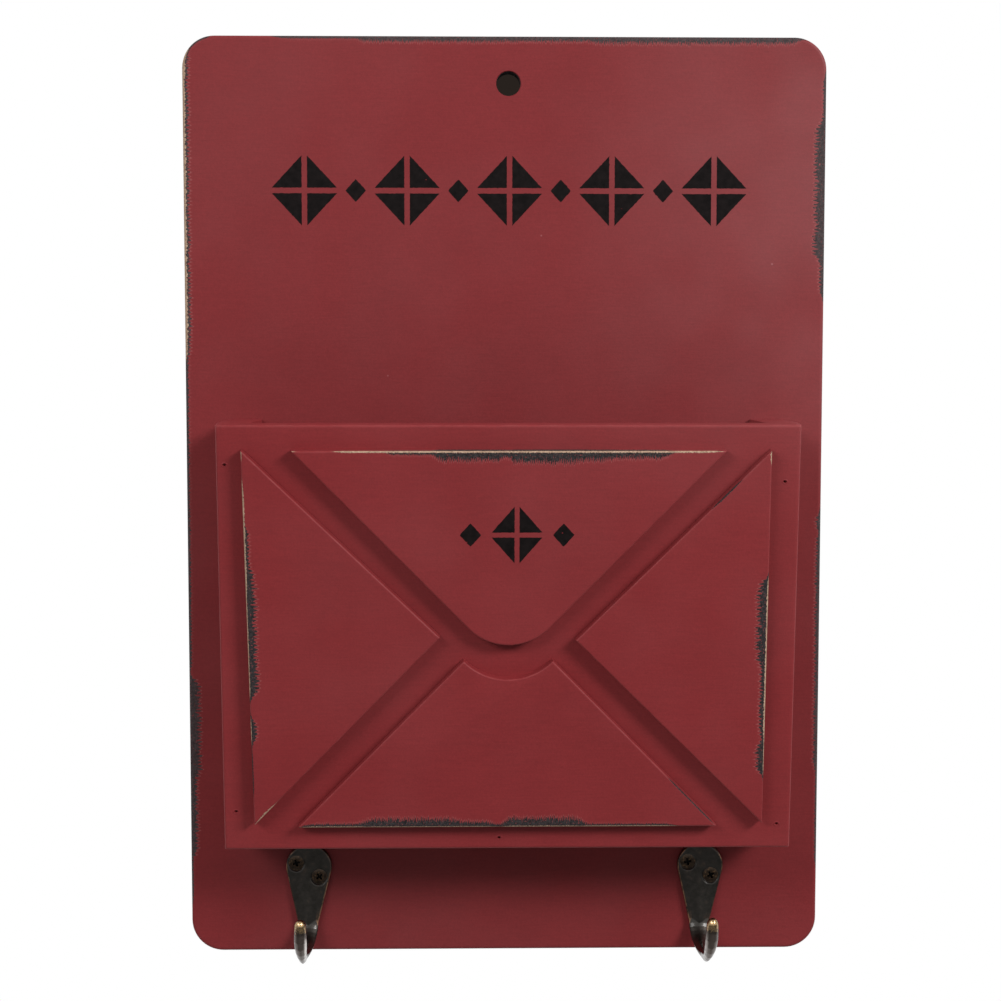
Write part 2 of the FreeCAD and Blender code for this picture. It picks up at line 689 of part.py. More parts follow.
def make_screw(name, spot, cross_turn):
    # Turned from a profile round its own Z, then the cross is punched into the head
    body = new_body(name)
    sketch = new_sketch(body, name + "_profile", "XZ_Plane")
    end = "-sizes.screw_length"
    add_lines(sketch, [
        ("0", "0"),
        ("sizes.screw_head", "0"),
        ("sizes.screw_shank", "-sizes.screw_sink"),
        ("sizes.screw_shank", "%s + sizes.screw_point" % end),
        ("0", end),
    ])
    turned = body.newObject("PartDesign::Revolution", name + "_turned")
    turned.Profile = (sketch, [""])
    turned.ReferenceAxis = (sketch, ["V_Axis"])
    turned.Angle = 360.0
    doc.recompute()
    cross = new_sketch(body, name + "_cross", "XY_Plane")
    cross.AttachmentOffset = FreeCAD.Placement(
        FreeCAD.Vector(), FreeCAD.Rotation(FreeCAD.Vector(0, 0, 1), cross_turn),
    )
    long = "sizes.cross_span / 2"
    thin = "sizes.cross_width / 2"
    add_lines(cross, [
        (thin, "-" + long),
        (thin, "-" + thin),
        (long, "-" + thin),
        (long, thin),
        (thin, thin),
        (thin, long),
        ("-" + thin, long),
        ("-" + thin, thin),
        ("-" + long, thin),
        ("-" + long, "-" + thin),
        ("-" + thin, "-" + thin),
        ("-" + thin, "-" + long),
    ])
    add_feature(body, "Pocket", cross, name + "_recess", Length="sizes.cross_deep")
    x, y, z = spot
    place(body, x, "%s + sizes.screw_below" % y, z, FACE_FRONT)
    keep(body, name)


# Each screw was left with its cross at a turn of its own
for (name, spot, side), cross_turn in zip(hook_screws, (20, 38, 12, 30)):
    make_screw(name, spot, cross_turn)


def make_brad(name, spot, turn):
    # Flat wire cut to a chisel point, with a wider head, driven below the face
    body = new_body(name)
    sketch = new_sketch(body, name + "_outline", "XZ_Plane")
    half_head = "sizes.brad_head_width / 2"
    half_wire = "sizes.brad_width / 2"
    top = "-sizes.brad_below"
    under = "-sizes.brad_below - sizes.brad_head_thick"
    end = "-sizes.brad_below - sizes.brad_length"
    shoulder = "%s + sizes.brad_point" % end
    add_lines(sketch, [
        ("-" + half_head, top),
        (half_head, top),
        (half_head, under),
        (half_wire, under),
        (half_wire, shoulder),
        ("0", end),
        ("-" + half_wire, shoulder),
        ("-" + half_wire, under),
        ("-" + half_head, under),
    ])
    pad = add_feature(body, "Pad", sketch, name + "_wire", Length="sizes.brad_thick")
    pad.Midplane = True
    place(body, *spot, turn)
    keep(body, name)


for name, spot, turn, home in front_brads + back_brads:
    make_brad(name, spot, turn)

doc.recompute()

# Nothing is written unless every feature computed and every piece is a valid solid
for item in doc.Objects:
    if "Invalid" in item.State or "Error" in item.State:
        raise RuntimeError("%s did not compute: %s" % (item.Name, item.State))
for piece in nodes:
    if piece.Shape.isNull() or not piece.Shape.isValid() or len(piece.Shape.Solids) != 1:
        raise RuntimeError("%s is not one valid solid" % piece.Label)

os.makedirs("parts", exist_ok=True)
for piece in nodes:
    piece.Shape.exportStep("parts/%s.step" % piece.Label)
    print("%-26s %10.1f mm3" % (piece.Label, piece.Shape.Volume))
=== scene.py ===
import math

import bmesh
import bpy
import numpy as np
from mathutils import Matrix, Vector, noise


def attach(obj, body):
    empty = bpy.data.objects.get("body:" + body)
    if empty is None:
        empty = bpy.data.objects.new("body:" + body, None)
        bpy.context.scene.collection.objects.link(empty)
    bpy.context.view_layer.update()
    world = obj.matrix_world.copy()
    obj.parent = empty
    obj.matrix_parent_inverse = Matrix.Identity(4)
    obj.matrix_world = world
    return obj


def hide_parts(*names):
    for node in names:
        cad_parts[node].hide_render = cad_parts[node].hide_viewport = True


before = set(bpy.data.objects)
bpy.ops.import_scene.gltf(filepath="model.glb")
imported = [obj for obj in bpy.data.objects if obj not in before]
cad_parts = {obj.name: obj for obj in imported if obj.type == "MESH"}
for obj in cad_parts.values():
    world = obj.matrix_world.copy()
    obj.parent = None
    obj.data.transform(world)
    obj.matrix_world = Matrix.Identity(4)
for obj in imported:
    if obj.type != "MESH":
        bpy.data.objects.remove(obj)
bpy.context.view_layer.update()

# Back board. The real one is a single piece of 9 mm fibreboard with rounded corners. It was
# sprayed with a charcoal undercoat, brushed with brick red chalk paint, and sanded through
# along its edges. Everything else is fixed to it, and it hangs by the hole near its top.
# All drawings below are in millimetres: across, up, and out from the piece's back face.
BOARD_THICK = 9.0
BOARD_HALF = (127.0, 183.25)
BOARD_CORNER = 12.7
HANG_HOLE = (1.2, 164.85, 4.75)
RIM_STEPS = (0.5, 0.7, 1.0, 1.4, 2.4)
CELL = 2.0


def linear(hex_colour):
    # sRGB hex to the linear colour that a shader reads
    parts = [int(hex_colour[i:i + 2], 16) / 255 for i in (1, 3, 5)]
    parts = [c / 12.92 if c <= 0.04045 else ((c + 0.055) / 1.055) ** 2.4 for c in parts]
    return (*parts, 1.0)


def feed(tree, node, inputs):
    # Gives each input a value, or the output or the node that feeds it; a node feeds by its
    # first output in use
    for socket, value in inputs.items():
        if isinstance(value, bpy.types.Node):
            value = next(output for output in value.outputs if output.enabled)
        if isinstance(value, bpy.types.NodeSocket):
            tree.links.new(value, node.inputs[socket])
        else:
            node.inputs[socket].default_value = value


def add_node(tree, kind, inputs=None, **settings):
    # One node with its settings and inputs
    node = tree.nodes.new("ShaderNode" + kind)
    for name, value in settings.items():
        setattr(node, name, value)
    feed(tree, node, inputs or {})
    return node


def new_material(name, **surface):
    # A material with one Principled shader; surface gives its sockets that stay constant
    material = bpy.data.materials.new(name)
    material.use_nodes = True
    tree = material.node_tree
    tree.nodes.clear()
    values = {key.replace("_", " "): value for key, value in surface.items()}
    shader = add_node(tree, "BsdfPrincipled", values)
    add_node(tree, "OutputMaterial", {"Surface": shader})
    return material, tree, shader


def set_ramp(node, *stops):
    # The stops of a colour ramp: place and linear colour
    ramp = node.color_ramp
    while len(ramp.elements) < len(stops):
        ramp.elements.new(1.0)
    for element, (place, colour) in zip(ramp.elements, stops):
        element.position = place
        element.color = colour
    return node


def place_on(across, up, out, origin):
    # The matrix from a drawing in millimetres to the model in metres
    matrix = Matrix((across, up, out)).transposed().to_4x4()
    matrix.translation = Vector(origin)
    return Matrix.Scale(0.001, 4) @ matrix


def new_outline(corners):
    # A closed loop of edges through the corners
    bm = bmesh.new()
    verts = [bm.verts.new((x, y, 0)) for x, y in corners]
    for pair in zip(verts, verts[1:] + verts[:1]):
        bm.edges.new(pair)
    return bm


def walk_outline(bm):
    # The corners of the only loop in bm, in order
    bm.verts.ensure_lookup_table()
    order = [bm.verts[0]]
    edge = order[0].link_edges[0]
    while True:
        following = edge.other_vert(order[-1])
        if following is order[0]:
            return [tuple(vert.co.xy) for vert in order]
        order.append(following)
        edge = [other for other in following.link_edges if other is not edge][0]


def thicken(bm, thick):
    # Draws the flat shape in bm out into a closed slab
    raised = bmesh.ops.extrude_face_region(bm, geom=bm.faces[:])["geom"]
    raised = [item for item in raised if isinstance(item, bmesh.types.BMVert)]
    bmesh.ops.translate(bm, verts=raised, vec=(0, 0, thick))
    bmesh.ops.recalc_face_normals(bm, faces=bm.faces[:])


def saw_slab(bm, thick, arris, back_arris=0.35, corner=0.35, steps=RIM_STEPS):
    # Cuts a slab to the outline in bm: its arrises and corners are eased, and rings of narrow
    # faces run round its front, so that wear can be laid along its edges
    outline = walk_outline(bm)
    bmesh.ops.contextual_create(bm, geom=bm.edges[:])
    thicken(bm, thick)
    for level, width, segments in ((thick, arris, 4), (0.0, back_arris, 3)):
        rim = [edge for edge in bm.edges if all(abs(vert.co.z - level) < 1e-4 for vert in edge.verts)]
        bmesh.ops.bevel(
            bm, geom=rim, offset=width, segments=segments, profile=0.5, affect="EDGES", material=-1,
        )
    top = max(bm.faces, key=lambda face: face.normal.z * face.calc_area())
    for step in steps:
        bmesh.ops.inset_region(bm, faces=[top], thickness=step, use_even_offset=True)
    reach = sum(steps) + arris + 0.1
    for start, end in zip(outline, outline[1:] + outline[:1]):
        run = Vector(end) - Vector(start)
        middle = (Vector(end) + Vector(start)) / 2
        along = run.normalized()
        level_edges = []
        for edge in bm.edges:
            edge_run = edge.verts[1].co - edge.verts[0].co
            offset = ((edge.verts[0].co + edge.verts[1].co) / 2).xy - middle
            if edge_run.length < CELL or abs(edge_run.xy.dot(along)) < 0.99999 * edge_run.length:
                continue
            if abs(offset.cross(along)) < reach and abs(offset.dot(along)) < run.length / 2:
                level_edges.append(edge)
        if run.length > CELL:
            bmesh.ops.subdivide_edges(bm, edges=level_edges, cuts=int(run.length / CELL))
    creases = [edge for edge in bm.edges if edge.calc_face_angle(0) > math.radians(32)]
    if corner:
        bmesh.ops.bevel(
            bm, geom=creases, offset=corner, segments=2, profile=0.5, affect="EDGES", material=-1,
        )
    return outline


def to_object(bm, name):
    mesh = bpy.data.meshes.new(name)
    bm.to_mesh(mesh)
    bm.free()
    piece = bpy.data.objects.new(name, mesh)
    bpy.context.scene.collection.objects.link(piece)
    return piece


def apply_modifiers(piece):
    # Bakes the piece's modifiers into its mesh
    graph = bpy.context.evaluated_depsgraph_get()
    mesh = bpy.data.meshes.new_from_object(piece.evaluated_get(graph))
    piece.modifiers.clear()
    piece.data = mesh


def cut_away(piece, cutters):
    # Takes the cutters' shapes out of the piece and deletes them
    for cutter in cutters:
        trim = piece.modifiers.new("cut", "BOOLEAN")
        trim.operation = "DIFFERENCE"
        trim.solver = "EXACT"
        trim.object = cutter
    apply_modifiers(piece)
    for cutter in cutters:
        bpy.data.objects.remove(cutter)


def turn_round(profile, steps=40, stretch=1.0, spot=(0, 0), closed=False):
    # A body turned from (radius, out) points round the out axis, then widened and moved
    bm = bmesh.new()
    verts = [bm.verts.new((radius, 0, out)) for radius, out in profile]
    pairs = list(zip(verts, verts[1:]))
    if closed:
        pairs.append((verts[-1], verts[0]))
    edges = [bm.edges.new(pair) for pair in pairs]
    bmesh.ops.spin(
        bm, geom=verts + edges, axis=(0, 0, 1), cent=(0, 0, 0),
        angle=2 * math.pi, steps=steps, use_merge=True,
    )
    bmesh.ops.remove_doubles(bm, verts=bm.verts[:], dist=1e-4)
    bmesh.ops.recalc_face_normals(bm, faces=bm.faces[:])
    bmesh.ops.scale(bm, vec=(stretch, 1, 1), verts=bm.verts[:])
    bmesh.ops.translate(bm, vec=(*spot, 0), verts=bm.verts[:])
    return bm


def soften(value):
    # From 0 to 1 with a gentle start and end
    value = np.clip(value, 0, 1)
    return value * value * (3 - 2 * value)


def measure_from(spots, start, end):
    # How far along the line from start to end each spot lies, 0 to 1, and how far away from it
    run = np.subtract(end, start)
    part = (spots - start) @ run / (run @ run)
    held = np.clip(part, 0, 1)
    return part, np.hypot(*(spots - start - held[:, None] * run).T)


def lay_wear(piece, outline, thick, wear=(), holes=(), bare_back=False):
    # Gives each corner of each face its place along the rim and in from it, in millimetres, and
    # each vertex how far the undercoat and the bare fibreboard reach in from the arris there.
    # wear lists stretches: start, end, reach of the undercoat and of the bare board
    mesh = piece.data
    count = len(mesh.vertices)
    spots = np.empty(count * 3)
    mesh.vertices.foreach_get("co", spots)
    flat, out = spots.reshape(-1, 3)[:, :2], spots[2::3]
    nearest = np.full(count, 1e9)
    along = np.zeros(count)
    heading = np.zeros((count, 2))
    whole = 0.0
    for start, end in zip(outline, outline[1:] + outline[:1]):
        part, gap = measure_from(flat, start, end)
        # a level edge counts double, because its teeth are half as wide
        length = math.dist(start, end) + abs(end[0] - start[0])
        along = np.where(gap < nearest, whole + np.clip(part, 0, 1) * length, along)
        heading[gap < nearest] = np.subtract(end, start) / math.dist(start, end)
        nearest = np.minimum(nearest, gap)
        whole += length
    inward = nearest - (thick - out)
    reach, bare = np.zeros(count), np.zeros(count)
    for start, end, deep, shallow in wear:
        part, gap = measure_from(flat, start, end)
        taper = soften(np.minimum(part, 1 - part) * math.dist(start, end) / 7 + 0.25)
        astray = np.abs(heading @ (start[1] - end[1], end[0] - start[0])) / math.dist(start, end)
        taper = taper * soften((9 - gap) / 3) * (astray < 0.6)
        reach = np.maximum(reach, deep * taper)
        bare = np.maximum(bare, shallow * taper)
    coat = np.where(out < 0.45, 1.0, 0.0) if bare_back else np.zeros(count)
    for x, y, radius in holes:
        inside = (np.hypot(*(flat - (x, y)).T) < radius + 0.1) & (out < thick - 0.25)
        coat = np.where(inside, 1.0, coat)
    for name, values in (("reach", reach), ("bare", bare), ("coat", coat)):
        mesh.attributes.new(name, "FLOAT", "POINT").data.foreach_set("value", values.astype("f"))
    layer = mesh.uv_layers.new(name="rim")
    for polygon in mesh.polygons:
        owners = [mesh.loops[loop].vertex_index for loop in polygon.loop_indices]
        marks = along[owners]
        if marks.max() - marks.min() > whole / 2:
            marks = np.where(marks < whole / 2, marks + whole, marks)
        for loop, owner, mark in zip(polygon.loop_indices, owners, marks):
            layer.data[loop].uv = (mark, inward[owner])


def finish_piece(piece, matrix, material, slot, *nodes):
    # Sets the piece in its place, gives it its material, and hides the nodes it stands for
    piece.data.transform(matrix)
    piece.data.materials.clear()
    piece.data.materials.append(material)
    for polygon in piece.data.polygons:
        polygon.use_smooth = True
    piece.data.set_sharp_from_angle(angle=math.radians(30))
    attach(piece, "root")
    if nodes:
        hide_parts(*nodes)


def sanded_paint(name, dusty, *reds):
    # Chalk paint brushed on fibreboard, sanded by hand at the edges: a dull red with faint
    # clouds and brush lines, a fine tooth, pale specks, and a ragged border where the charcoal
    # undercoat and then the buff board come through; dusty is how much sanding dust stays in the
    # undercoat, and reds are its colours from dark to light
    material, tree, shader = new_material(name)
    coords = add_node(tree, "TexCoord").outputs["Object"]
    # clouds 40 mm across, and a tooth of 0.7 mm from the board's fibres under the paint
    clouds = add_node(tree, "TexNoise", {"Vector": coords, "Scale": 26.0, "Detail": 4.0, "Roughness": 0.6})
    tooth = add_node(tree, "TexNoise", {"Vector": coords, "Scale": 1400.0, "Detail": 3.0, "Roughness": 0.6})
    red = set_ramp(
        add_node(tree, "ValToRGB", {"Fac": clouds}),
        *((place, linear(colour)) for place, colour in zip((0.3, 0.5, 0.72), reds)),
    )
    # level brush lines, 0.6 mm apart and some 8 mm long
    lying = add_node(tree, "Mapping", {"Vector": coords, "Scale": (130.0, 130.0, 1700.0)})
    brush = add_node(tree, "TexNoise", {"Vector": lying, "Scale": 1.0, "Detail": 2.0})
    fine = add_node(tree, "MapRange", {"Value": tooth, 1: 0.3, 2: 0.7, 3: 0.92, 4: 1.08})
    lines = add_node(tree, "MapRange", {"Value": brush, 1: 0.3, 2: 0.7, 3: 0.955, 4: 1.045})
    grain = add_node(tree, "Math", {0: fine, 1: lines}, operation="MULTIPLY")
    red = add_node(tree, "Mix", {0: 1.0, 6: red, 7: grain}, data_type="RGBA", blend_type="MULTIPLY")
    # a chalky bloom in patches a hand wide
    bloom = add_node(tree, "TexNoise", {"Vector": coords, "Scale": 9.0, "Detail": 3.0, "Roughness": 0.7})
    chalk = add_node(tree, "MapRange", {"Value": bloom, 1: 0.42, 2: 0.72, 3: 0.0, 4: 0.03})
    # painted sheen: the red is paled in patches towards the board's upper right, as the paint's gloss would pale it
    # there
    place = add_node(tree, "SeparateXYZ", {"Vector": coords})
    rightward = add_node(tree, "MapRange", {"Value": place.outputs["X"], 1: 0.025, 2: 0.125, 3: 0.0, 4: 0.06})
    upward = add_node(tree, "MapRange", {"Value": place.outputs["Z"], 1: 0.0, 2: 0.09})
    painted_sheen = add_node(tree, "Math", {0: rightward, 1: upward}, operation="MULTIPLY")
    sheen_patches = add_node(tree, "MapRange", {"Value": bloom, 1: 0.35, 2: 0.65, 3: 0.5, 4: 1.4})
    painted_sheen = add_node(tree, "Math", {0: painted_sheen, 1: sheen_patches}, operation="MULTIPLY")
    # painted shade: the board's red is darkened round the pocket, above and below it, least so at its right
    painted_pocket_shade = add_node(tree, "MapRange", {"Value": place.outputs["Y"], 1: -0.0098, 2: -0.0092, 3: 0.0, 4: 0.075})
    for side, far, near in (("X", -0.122, -0.098), ("X", 0.115, 0.01), ("Z", 0.085, 0.05)):
        shade_falloff = add_node(tree, "MapRange", {"Value": place.outputs[side], 1: far, 2: near})
        painted_pocket_shade = add_node(tree, "Math", {0: painted_pocket_shade, 1: shade_falloff}, operation="MULTIPLY")
    # dust specks half a millimetre across, one in each 26 mm
    specks = add_node(tree, "TexVoronoi", {"Vector": coords, "Scale": 38.0, "Randomness": 1.0})
    speck = add_node(tree, "MapRange", {"Value": specks, 1: 0.008, 2: 0.02, 3: 0.4, 4: 0.0})
    rim = add_node(tree, "UVMap", uv_map="rim").outputs["UV"]
    parts = add_node(tree, "SeparateXYZ", {"Vector": rim})
    # teeth of the sanding, 1.4 mm apart along the rim, some of them longer than others
    teeth = add_node(
        tree, "TexWave", {"Vector": rim, "Scale": 0.224, "Distortion": 2.5, "Detail": 2.0, "Detail Scale": 2.0},
    )
    stretched = add_node(tree, "Mapping", {"Vector": rim, "Scale": (0.8, 0.12, 1.0)})
    comb = add_node(tree, "TexNoise", {"Vector": stretched, "Scale": 1.0, "Detail": 5.0, "Roughness": 0.7})
    swing = add_node(tree, "MapRange", {"Value": comb, 1: 0.32, 2: 0.68, 3: 0.45, 4: 1.05}, clamp=False)
    swing = add_node(tree, "Math", {0: teeth.outputs["Fac"], 1: 0.4, 2: swing}, operation="MULTIPLY_ADD")
    # slower swells, 15 mm long, that thin the pale arris line out in places
    slow = add_node(tree, "Mapping", {"Vector": rim, "Scale": (0.07, 0.02, 1.0)})
    swell = add_node(tree, "TexNoise", {"Vector": slow, "Scale": 1.0, "Detail": 3.0})
    below = add_node(tree, "Math", {0: parts.outputs["Y"], 1: -0.7}, operation="MULTIPLY")
    inward = add_node(tree, "Math", {0: parts.outputs["Y"], 1: below}, operation="MAXIMUM")
    steady = add_node(tree, "MapRange", {"Value": comb, 1: 0.35, 2: 0.6, 3: 0.4, 4: 1.15})
    masks = {}
    for name, by, soft in (("reach", swing, 0.15), ("bare", steady, 0.12)):
        amount = add_node(tree, "Attribute", attribute_name=name)
        live = add_node(tree, "Math", {0: amount.outputs["Fac"], 1: by}, operation="MULTIPLY")
        over = add_node(tree, "Math", {0: live, 1: inward}, operation="SUBTRACT")
        masks[name] = add_node(tree, "MapRange", {"Value": over, 1: 0.02, 2: 0.02 + soft, 3: 0.0, 4: 1.0})
        near = add_node(tree, "MapRange", {"Value": over, 1: -0.9, 2: -0.02, 3: 0.0, 4: 1.0})
        sanded = add_node(tree, "MapRange", {"Value": amount.outputs["Fac"], 1: 0.8, 2: 2.0, 3: 0.0, 4: 1.0})
        masks[name + " edge"] = add_node(tree, "Math", {0: near, 1: sanded}, operation="MULTIPLY")
    # the paint is rubbed thin and pale along every arris, a pale line that is partly wear and partly a painted
    # highlight, and frayed where it meets the undercoat
    thin = add_node(tree, "MapRange", {"Value": inward, 1: 0.1, 2: 0.6, 3: 0.16, 4: 0.0})
    patchy = add_node(tree, "MapRange", {"Value": swell, 1: 0.4, 2: 0.62, 3: 0.1, 4: 1.1})
    rubbed = add_node(tree, "Math", {0: thin, 1: patchy}, operation="MULTIPLY")
    hatched = add_node(tree, "MapRange", {"Value": teeth.outputs["Fac"], 3: 0.15, 4: 0.6})
    frayed = add_node(
        tree, "Math", {0: masks["reach edge"], 1: hatched, 2: rubbed},
        operation="MULTIPLY_ADD", use_clamp=True,
    )
    # the bloom, the painted sheen, the painted shade round the pocket, the specks and the fray lie over the red in
    # turn
    colour = red
    for amount, tint in (
        (chalk, "#C29A9B"), (painted_sheen, "#C9A9AA"), (painted_pocket_shade, "#1A0A0B"), (speck, "#B98284"), (frayed, "#A9605F"),
    ):
        colour = add_node(tree, "Mix", {0: amount, 6: colour, 7: linear(tint)}, data_type="RGBA")
    coat = add_node(tree, "Attribute", attribute_name="coat")
    # here and there the red still clings inside the sanded zone
    clinging = add_node(tree, "TexNoise", {"Vector": rim, "Scale": 1.1, "Detail": 4.0, "Roughness": 0.7})
    gone = add_node(tree, "MapRange", {"Value": clinging, 1: 0.36, 2: 0.41, 3: 0.0, 4: 1.0})
    open_coat = add_node(tree, "Math", {0: masks["reach"], 1: gone}, operation="MULTIPLY")
    under = add_node(tree, "Math", {0: open_coat, 1: coat.outputs["Fac"]}, operation="MAXIMUM")
    charcoal = set_ramp(
        add_node(tree, "ValToRGB", {"Fac": tooth}),
        (0.35, linear("#242122")), (0.65, linear("#403C3D")),
    )
    dusted = add_node(tree, "Math", {0: masks["reach"], 1: dusty}, operation="MULTIPLY")
    charcoal = add_node(tree, "Mix", {0: dusted, 6: charcoal, 7: linear("#C9A9AA")}, data_type="RGBA")
    buff = set_ramp(
        add_node(tree, "ValToRGB", {"Fac": tooth}),
        (0.3, linear("#8E7461")), (0.7, linear("#CDAE95")),
    )
    for amount, layer in ((under, charcoal), (masks["bare"], buff)):
        colour = add_node(tree, "Mix", {0: amount, 6: colour, 7: layer}, data_type="RGBA")
    # the paint has a low sheen, and the undercoat and the board are flat
    sheen = add_node(tree, "MapRange", {"Value": clouds, 1: 0.3, 2: 0.7, 3: 0.54, 4: 0.6})
    dull = add_node(tree, "Math", {0: under, 1: 0.2, 2: sheen}, operation="MULTIPLY_ADD")
    shine = add_node(tree, "MapRange", {"Value": under, 3: 0.22, 4: 0.08})
    # the paint film stands 0.06 mm above the undercoat
    film = add_node(tree, "Math", {0: under, 1: -0.06}, operation="MULTIPLY")
    strokes = add_node(tree, "Math", {0: brush, 1: 0.02, 2: film}, operation="MULTIPLY_ADD")
    height = add_node(tree, "Math", {0: tooth, 1: 0.03, 2: strokes}, operation="MULTIPLY_ADD")
    bump = add_node(tree, "Bump", {"Height": height, "Distance": 0.001, "Strength": 0.8})
    feed(tree, shader, {"Base Color": colour, "Roughness": dull, "Specular IOR Level": shine, "Normal": bump})
    return material


red_paint = sanded_paint("chalk_paint_sanded_fibreboard", 0.05, "#782629", "#7B272A", "#7E292C")
upright = place_on((1, 0, 0), (0, 0, 1), (0, -1, 0), (0, 0, 0))
across, tall = BOARD_HALF
bm = new_outline([(-across, -tall), (across, -tall), (across, tall), (-across, tall)])
bmesh.ops.bevel(
    bm, geom=bm.verts[:], offset=BOARD_CORNER, segments=14, profile=0.5, affect="VERTICES", material=-1,
)
board_outline = saw_slab(bm, BOARD_THICK, 1.2, corner=0)
board = to_object(bm, "board_painted")
x, y, radius = HANG_HOLE
hole_profile = (
    (0, -1), (radius + 0.6, -1), (radius + 0.3, 0.0), (radius, 0.4),
    (radius, 8.55), (radius + 0.1, 8.8), (radius + 0.32, 9.0), (radius + 0.6, 9.5), (0, 9.5),
)
cut_away(board, [to_object(turn_round(hole_profile, 64, spot=(x, y)), "cutter")])
lay_wear(board, board_outline, BOARD_THICK, (
    ((-92, 183), (-40, 183), 1.3, 0.0), ((-60, 183), (10, 183), 2.3, 0.0), ((-5, 183), (60, 183), 2.1, 0.0),
    ((30, 183), (118, 183), 2.7, 0.0),
    ((-129, 166), (-110, 185), 0.9, 0.0), ((-127, 178), (-127, 56), 2.3, 1.4),
    ((-127, 75), (-127, -70), 1.3, 0.0), ((-127, -70), (-127, -114), 4.3, 0.0),
    ((-127, -100), (-127, -146), 2.7, 0.0), ((-127, -130), (-127, -165), 1.0, 0.0),
    ((127, 170), (127, 148), 1.5, 0.0), ((127, 152), (127, 94), 4.1, 0.0), ((127, 104), (127, 80), 2.0, 0.0),
    ((127, -3), (127, -15), 1.9, 0.0), ((127, -12), (127, -112), 1.9, 0.0), ((127, -100), (127, -150), 1.1, 0.0),
), [HANG_HOLE], bare_back=True)
finish_piece(board, upright, red_paint, "red_paint", "back_board")

# Pocket. Two wedge-shaped sides and a floor stand on the board, and a 6 mm front panel leans
# out on them; all are cut from fibreboard, glued, nailed with brads and painted like the board.
POCKET_FOOT = -132.55
POCKET_HEIGHT = 165.3
POCKET_HALF = 109.75
POCKET_SHIFT = 0.5
SIDE_THICK = 12.5
DEPTH_TOP, DEPTH_FOOT = 42.0, 26.0
FLOOR_THICK = 9.0
PANEL_THICK = 6.0
TILT = math.atan((DEPTH_TOP - DEPTH_FOOT) / POCKET_HEIGHT)
PANEL_LENGTH = POCKET_HEIGHT / math.cos(TILT)
leaning = place_on(
    (1, 0, 0), (0, -math.sin(TILT), math.cos(TILT)), (0, -math.cos(TILT), -math.sin(TILT)),
    (POCKET_SHIFT, -BOARD_THICK - DEPTH_FOOT, POCKET_FOOT),
)

# its pieces take a slightly lighter red than the board
pocket_paint = sanded_paint("chalk_paint_sanded_pocket_board", 0.0, "#7E282B", "#81292C", "#842B2E")

for side, sign in (("left", -1), ("right", 1)):
    bm = new_outline([
        (0, 0), (-sign * DEPTH_FOOT, 0), (-sign * DEPTH_TOP, POCKET_HEIGHT), (0, POCKET_HEIGHT),
    ])
    outline = saw_slab(bm, SIDE_THICK, 0.4, back_arris=0.3, corner=0.25)
    wall = to_object(bm, "pocket_wall_" + side)
    lay_wear(wall, outline, SIDE_THICK)
    inner = POCKET_SHIFT + sign * (POCKET_HALF - SIDE_THICK)
    matrix = place_on((0, sign, 0), (0, 0, 1), (sign, 0, 0), (inner, -BOARD_THICK, POCKET_FOOT))
    finish_piece(wall, matrix, pocket_paint, "red_paint", "pocket_side_" + side)

floor_length = 2 * (POCKET_HALF - SIDE_THICK)
bm = new_outline([
    (0, 0), (-DEPTH_FOOT, 0), (-DEPTH_FOOT - FLOOR_THICK * math.tan(TILT), FLOOR_THICK), (0, FLOOR_THICK),
])
outline = saw_slab(bm, floor_length, 0.3, back_arris=0.3, corner=0, steps=(0.5,))
base = to_object(bm, "pocket_base")
lay_wear(base, outline, floor_length)
matrix = place_on(
    (0, 1, 0), (0, 0, 1), (1, 0, 0), (POCKET_SHIFT - floor_length / 2, -BOARD_THICK, POCKET_FOOT),
)
finish_piece(base, matrix, pocket_paint, "red_paint", "pocket_floor")

FRONT_BRADS = (
    (3.25 - POCKET_HALF, PANEL_LENGTH - 15.1), (POCKET_HALF - 5.75, PANEL_LENGTH - 21.6),
    (4.75 - POCKET_HALF, 15.5), (POCKET_HALF - 5.25, 9.7), (-3.4, FLOOR_THICK / 2),
)
bm = new_outline([
    (-POCKET_HALF, 0), (POCKET_HALF, 0), (POCKET_HALF, PANEL_LENGTH), (-POCKET_HALF, PANEL_LENGTH),
])
outline = saw_slab(bm, PANEL_THICK, 1.0)
panel = to_object(bm, "pocket_front")
brad_mouth = (
    (0, PANEL_THICK - 0.8), (0.42, PANEL_THICK - 0.8), (0.46, PANEL_THICK - 0.25), (0.58, PANEL_THICK),
    (0.7, PANEL_THICK + 0.4), (0, PANEL_THICK + 0.4),
)
mouths = [to_object(turn_round(brad_mouth, 16, 1.3, spot), "cutter") for spot in FRONT_BRADS]
cut_away(panel, mouths)
lay_wear(panel, outline, PANEL_THICK)
finish_piece(panel, leaning, pocket_paint, "red_paint", "front_panel")

# Flaps. Four pieces of 4.5 mm board are glued on the panel so that it looks like the back of
# an envelope: two side triangles, a top flap with a rounded nose, and a foot flap hollowed
# to follow the nose. Their front edges are eased and sanded through in places.
FLAP_THICK = 4.5
FLAP_EASING = 0.6
FLAP_EDGE = POCKET_HALF - 11.3
SIDE_HEIGHT = PANEL_LENGTH - 20.3
SIDE_REACH = FLAP_EDGE - 25.75
NOSE_RADIUS = 21.5
NOSE_CENTRE = PANEL_LENGTH / 2 - 0.65 + NOSE_RADIUS
TOP_HALF = FLAP_EDGE - 17.05
TOP_EDGE = PANEL_LENGTH - 9.3
FOOT_HALF = FLAP_EDGE - 17.75
FOOT_SHIFT = -0.15
HOLLOW_RADIUS = 23.4
HOLLOW_CENTRE = PANEL_LENGTH / 2 - 0.65 - 13.4 + HOLLOW_RADIUS
THROAT_HALF = 16.9
on_panel_face = leaning @ Matrix.Translation((0, 0, PANEL_THICK))


def lay_flap(bm, name, wear, node):
    outline = saw_slab(bm, FLAP_THICK, FLAP_EASING, back_arris=0.2, corner=0.15)
    flap = to_object(bm, name)
    lay_wear(flap, outline, FLAP_THICK, wear)
    finish_piece(flap, on_panel_face, pocket_paint, "red_paint", node)


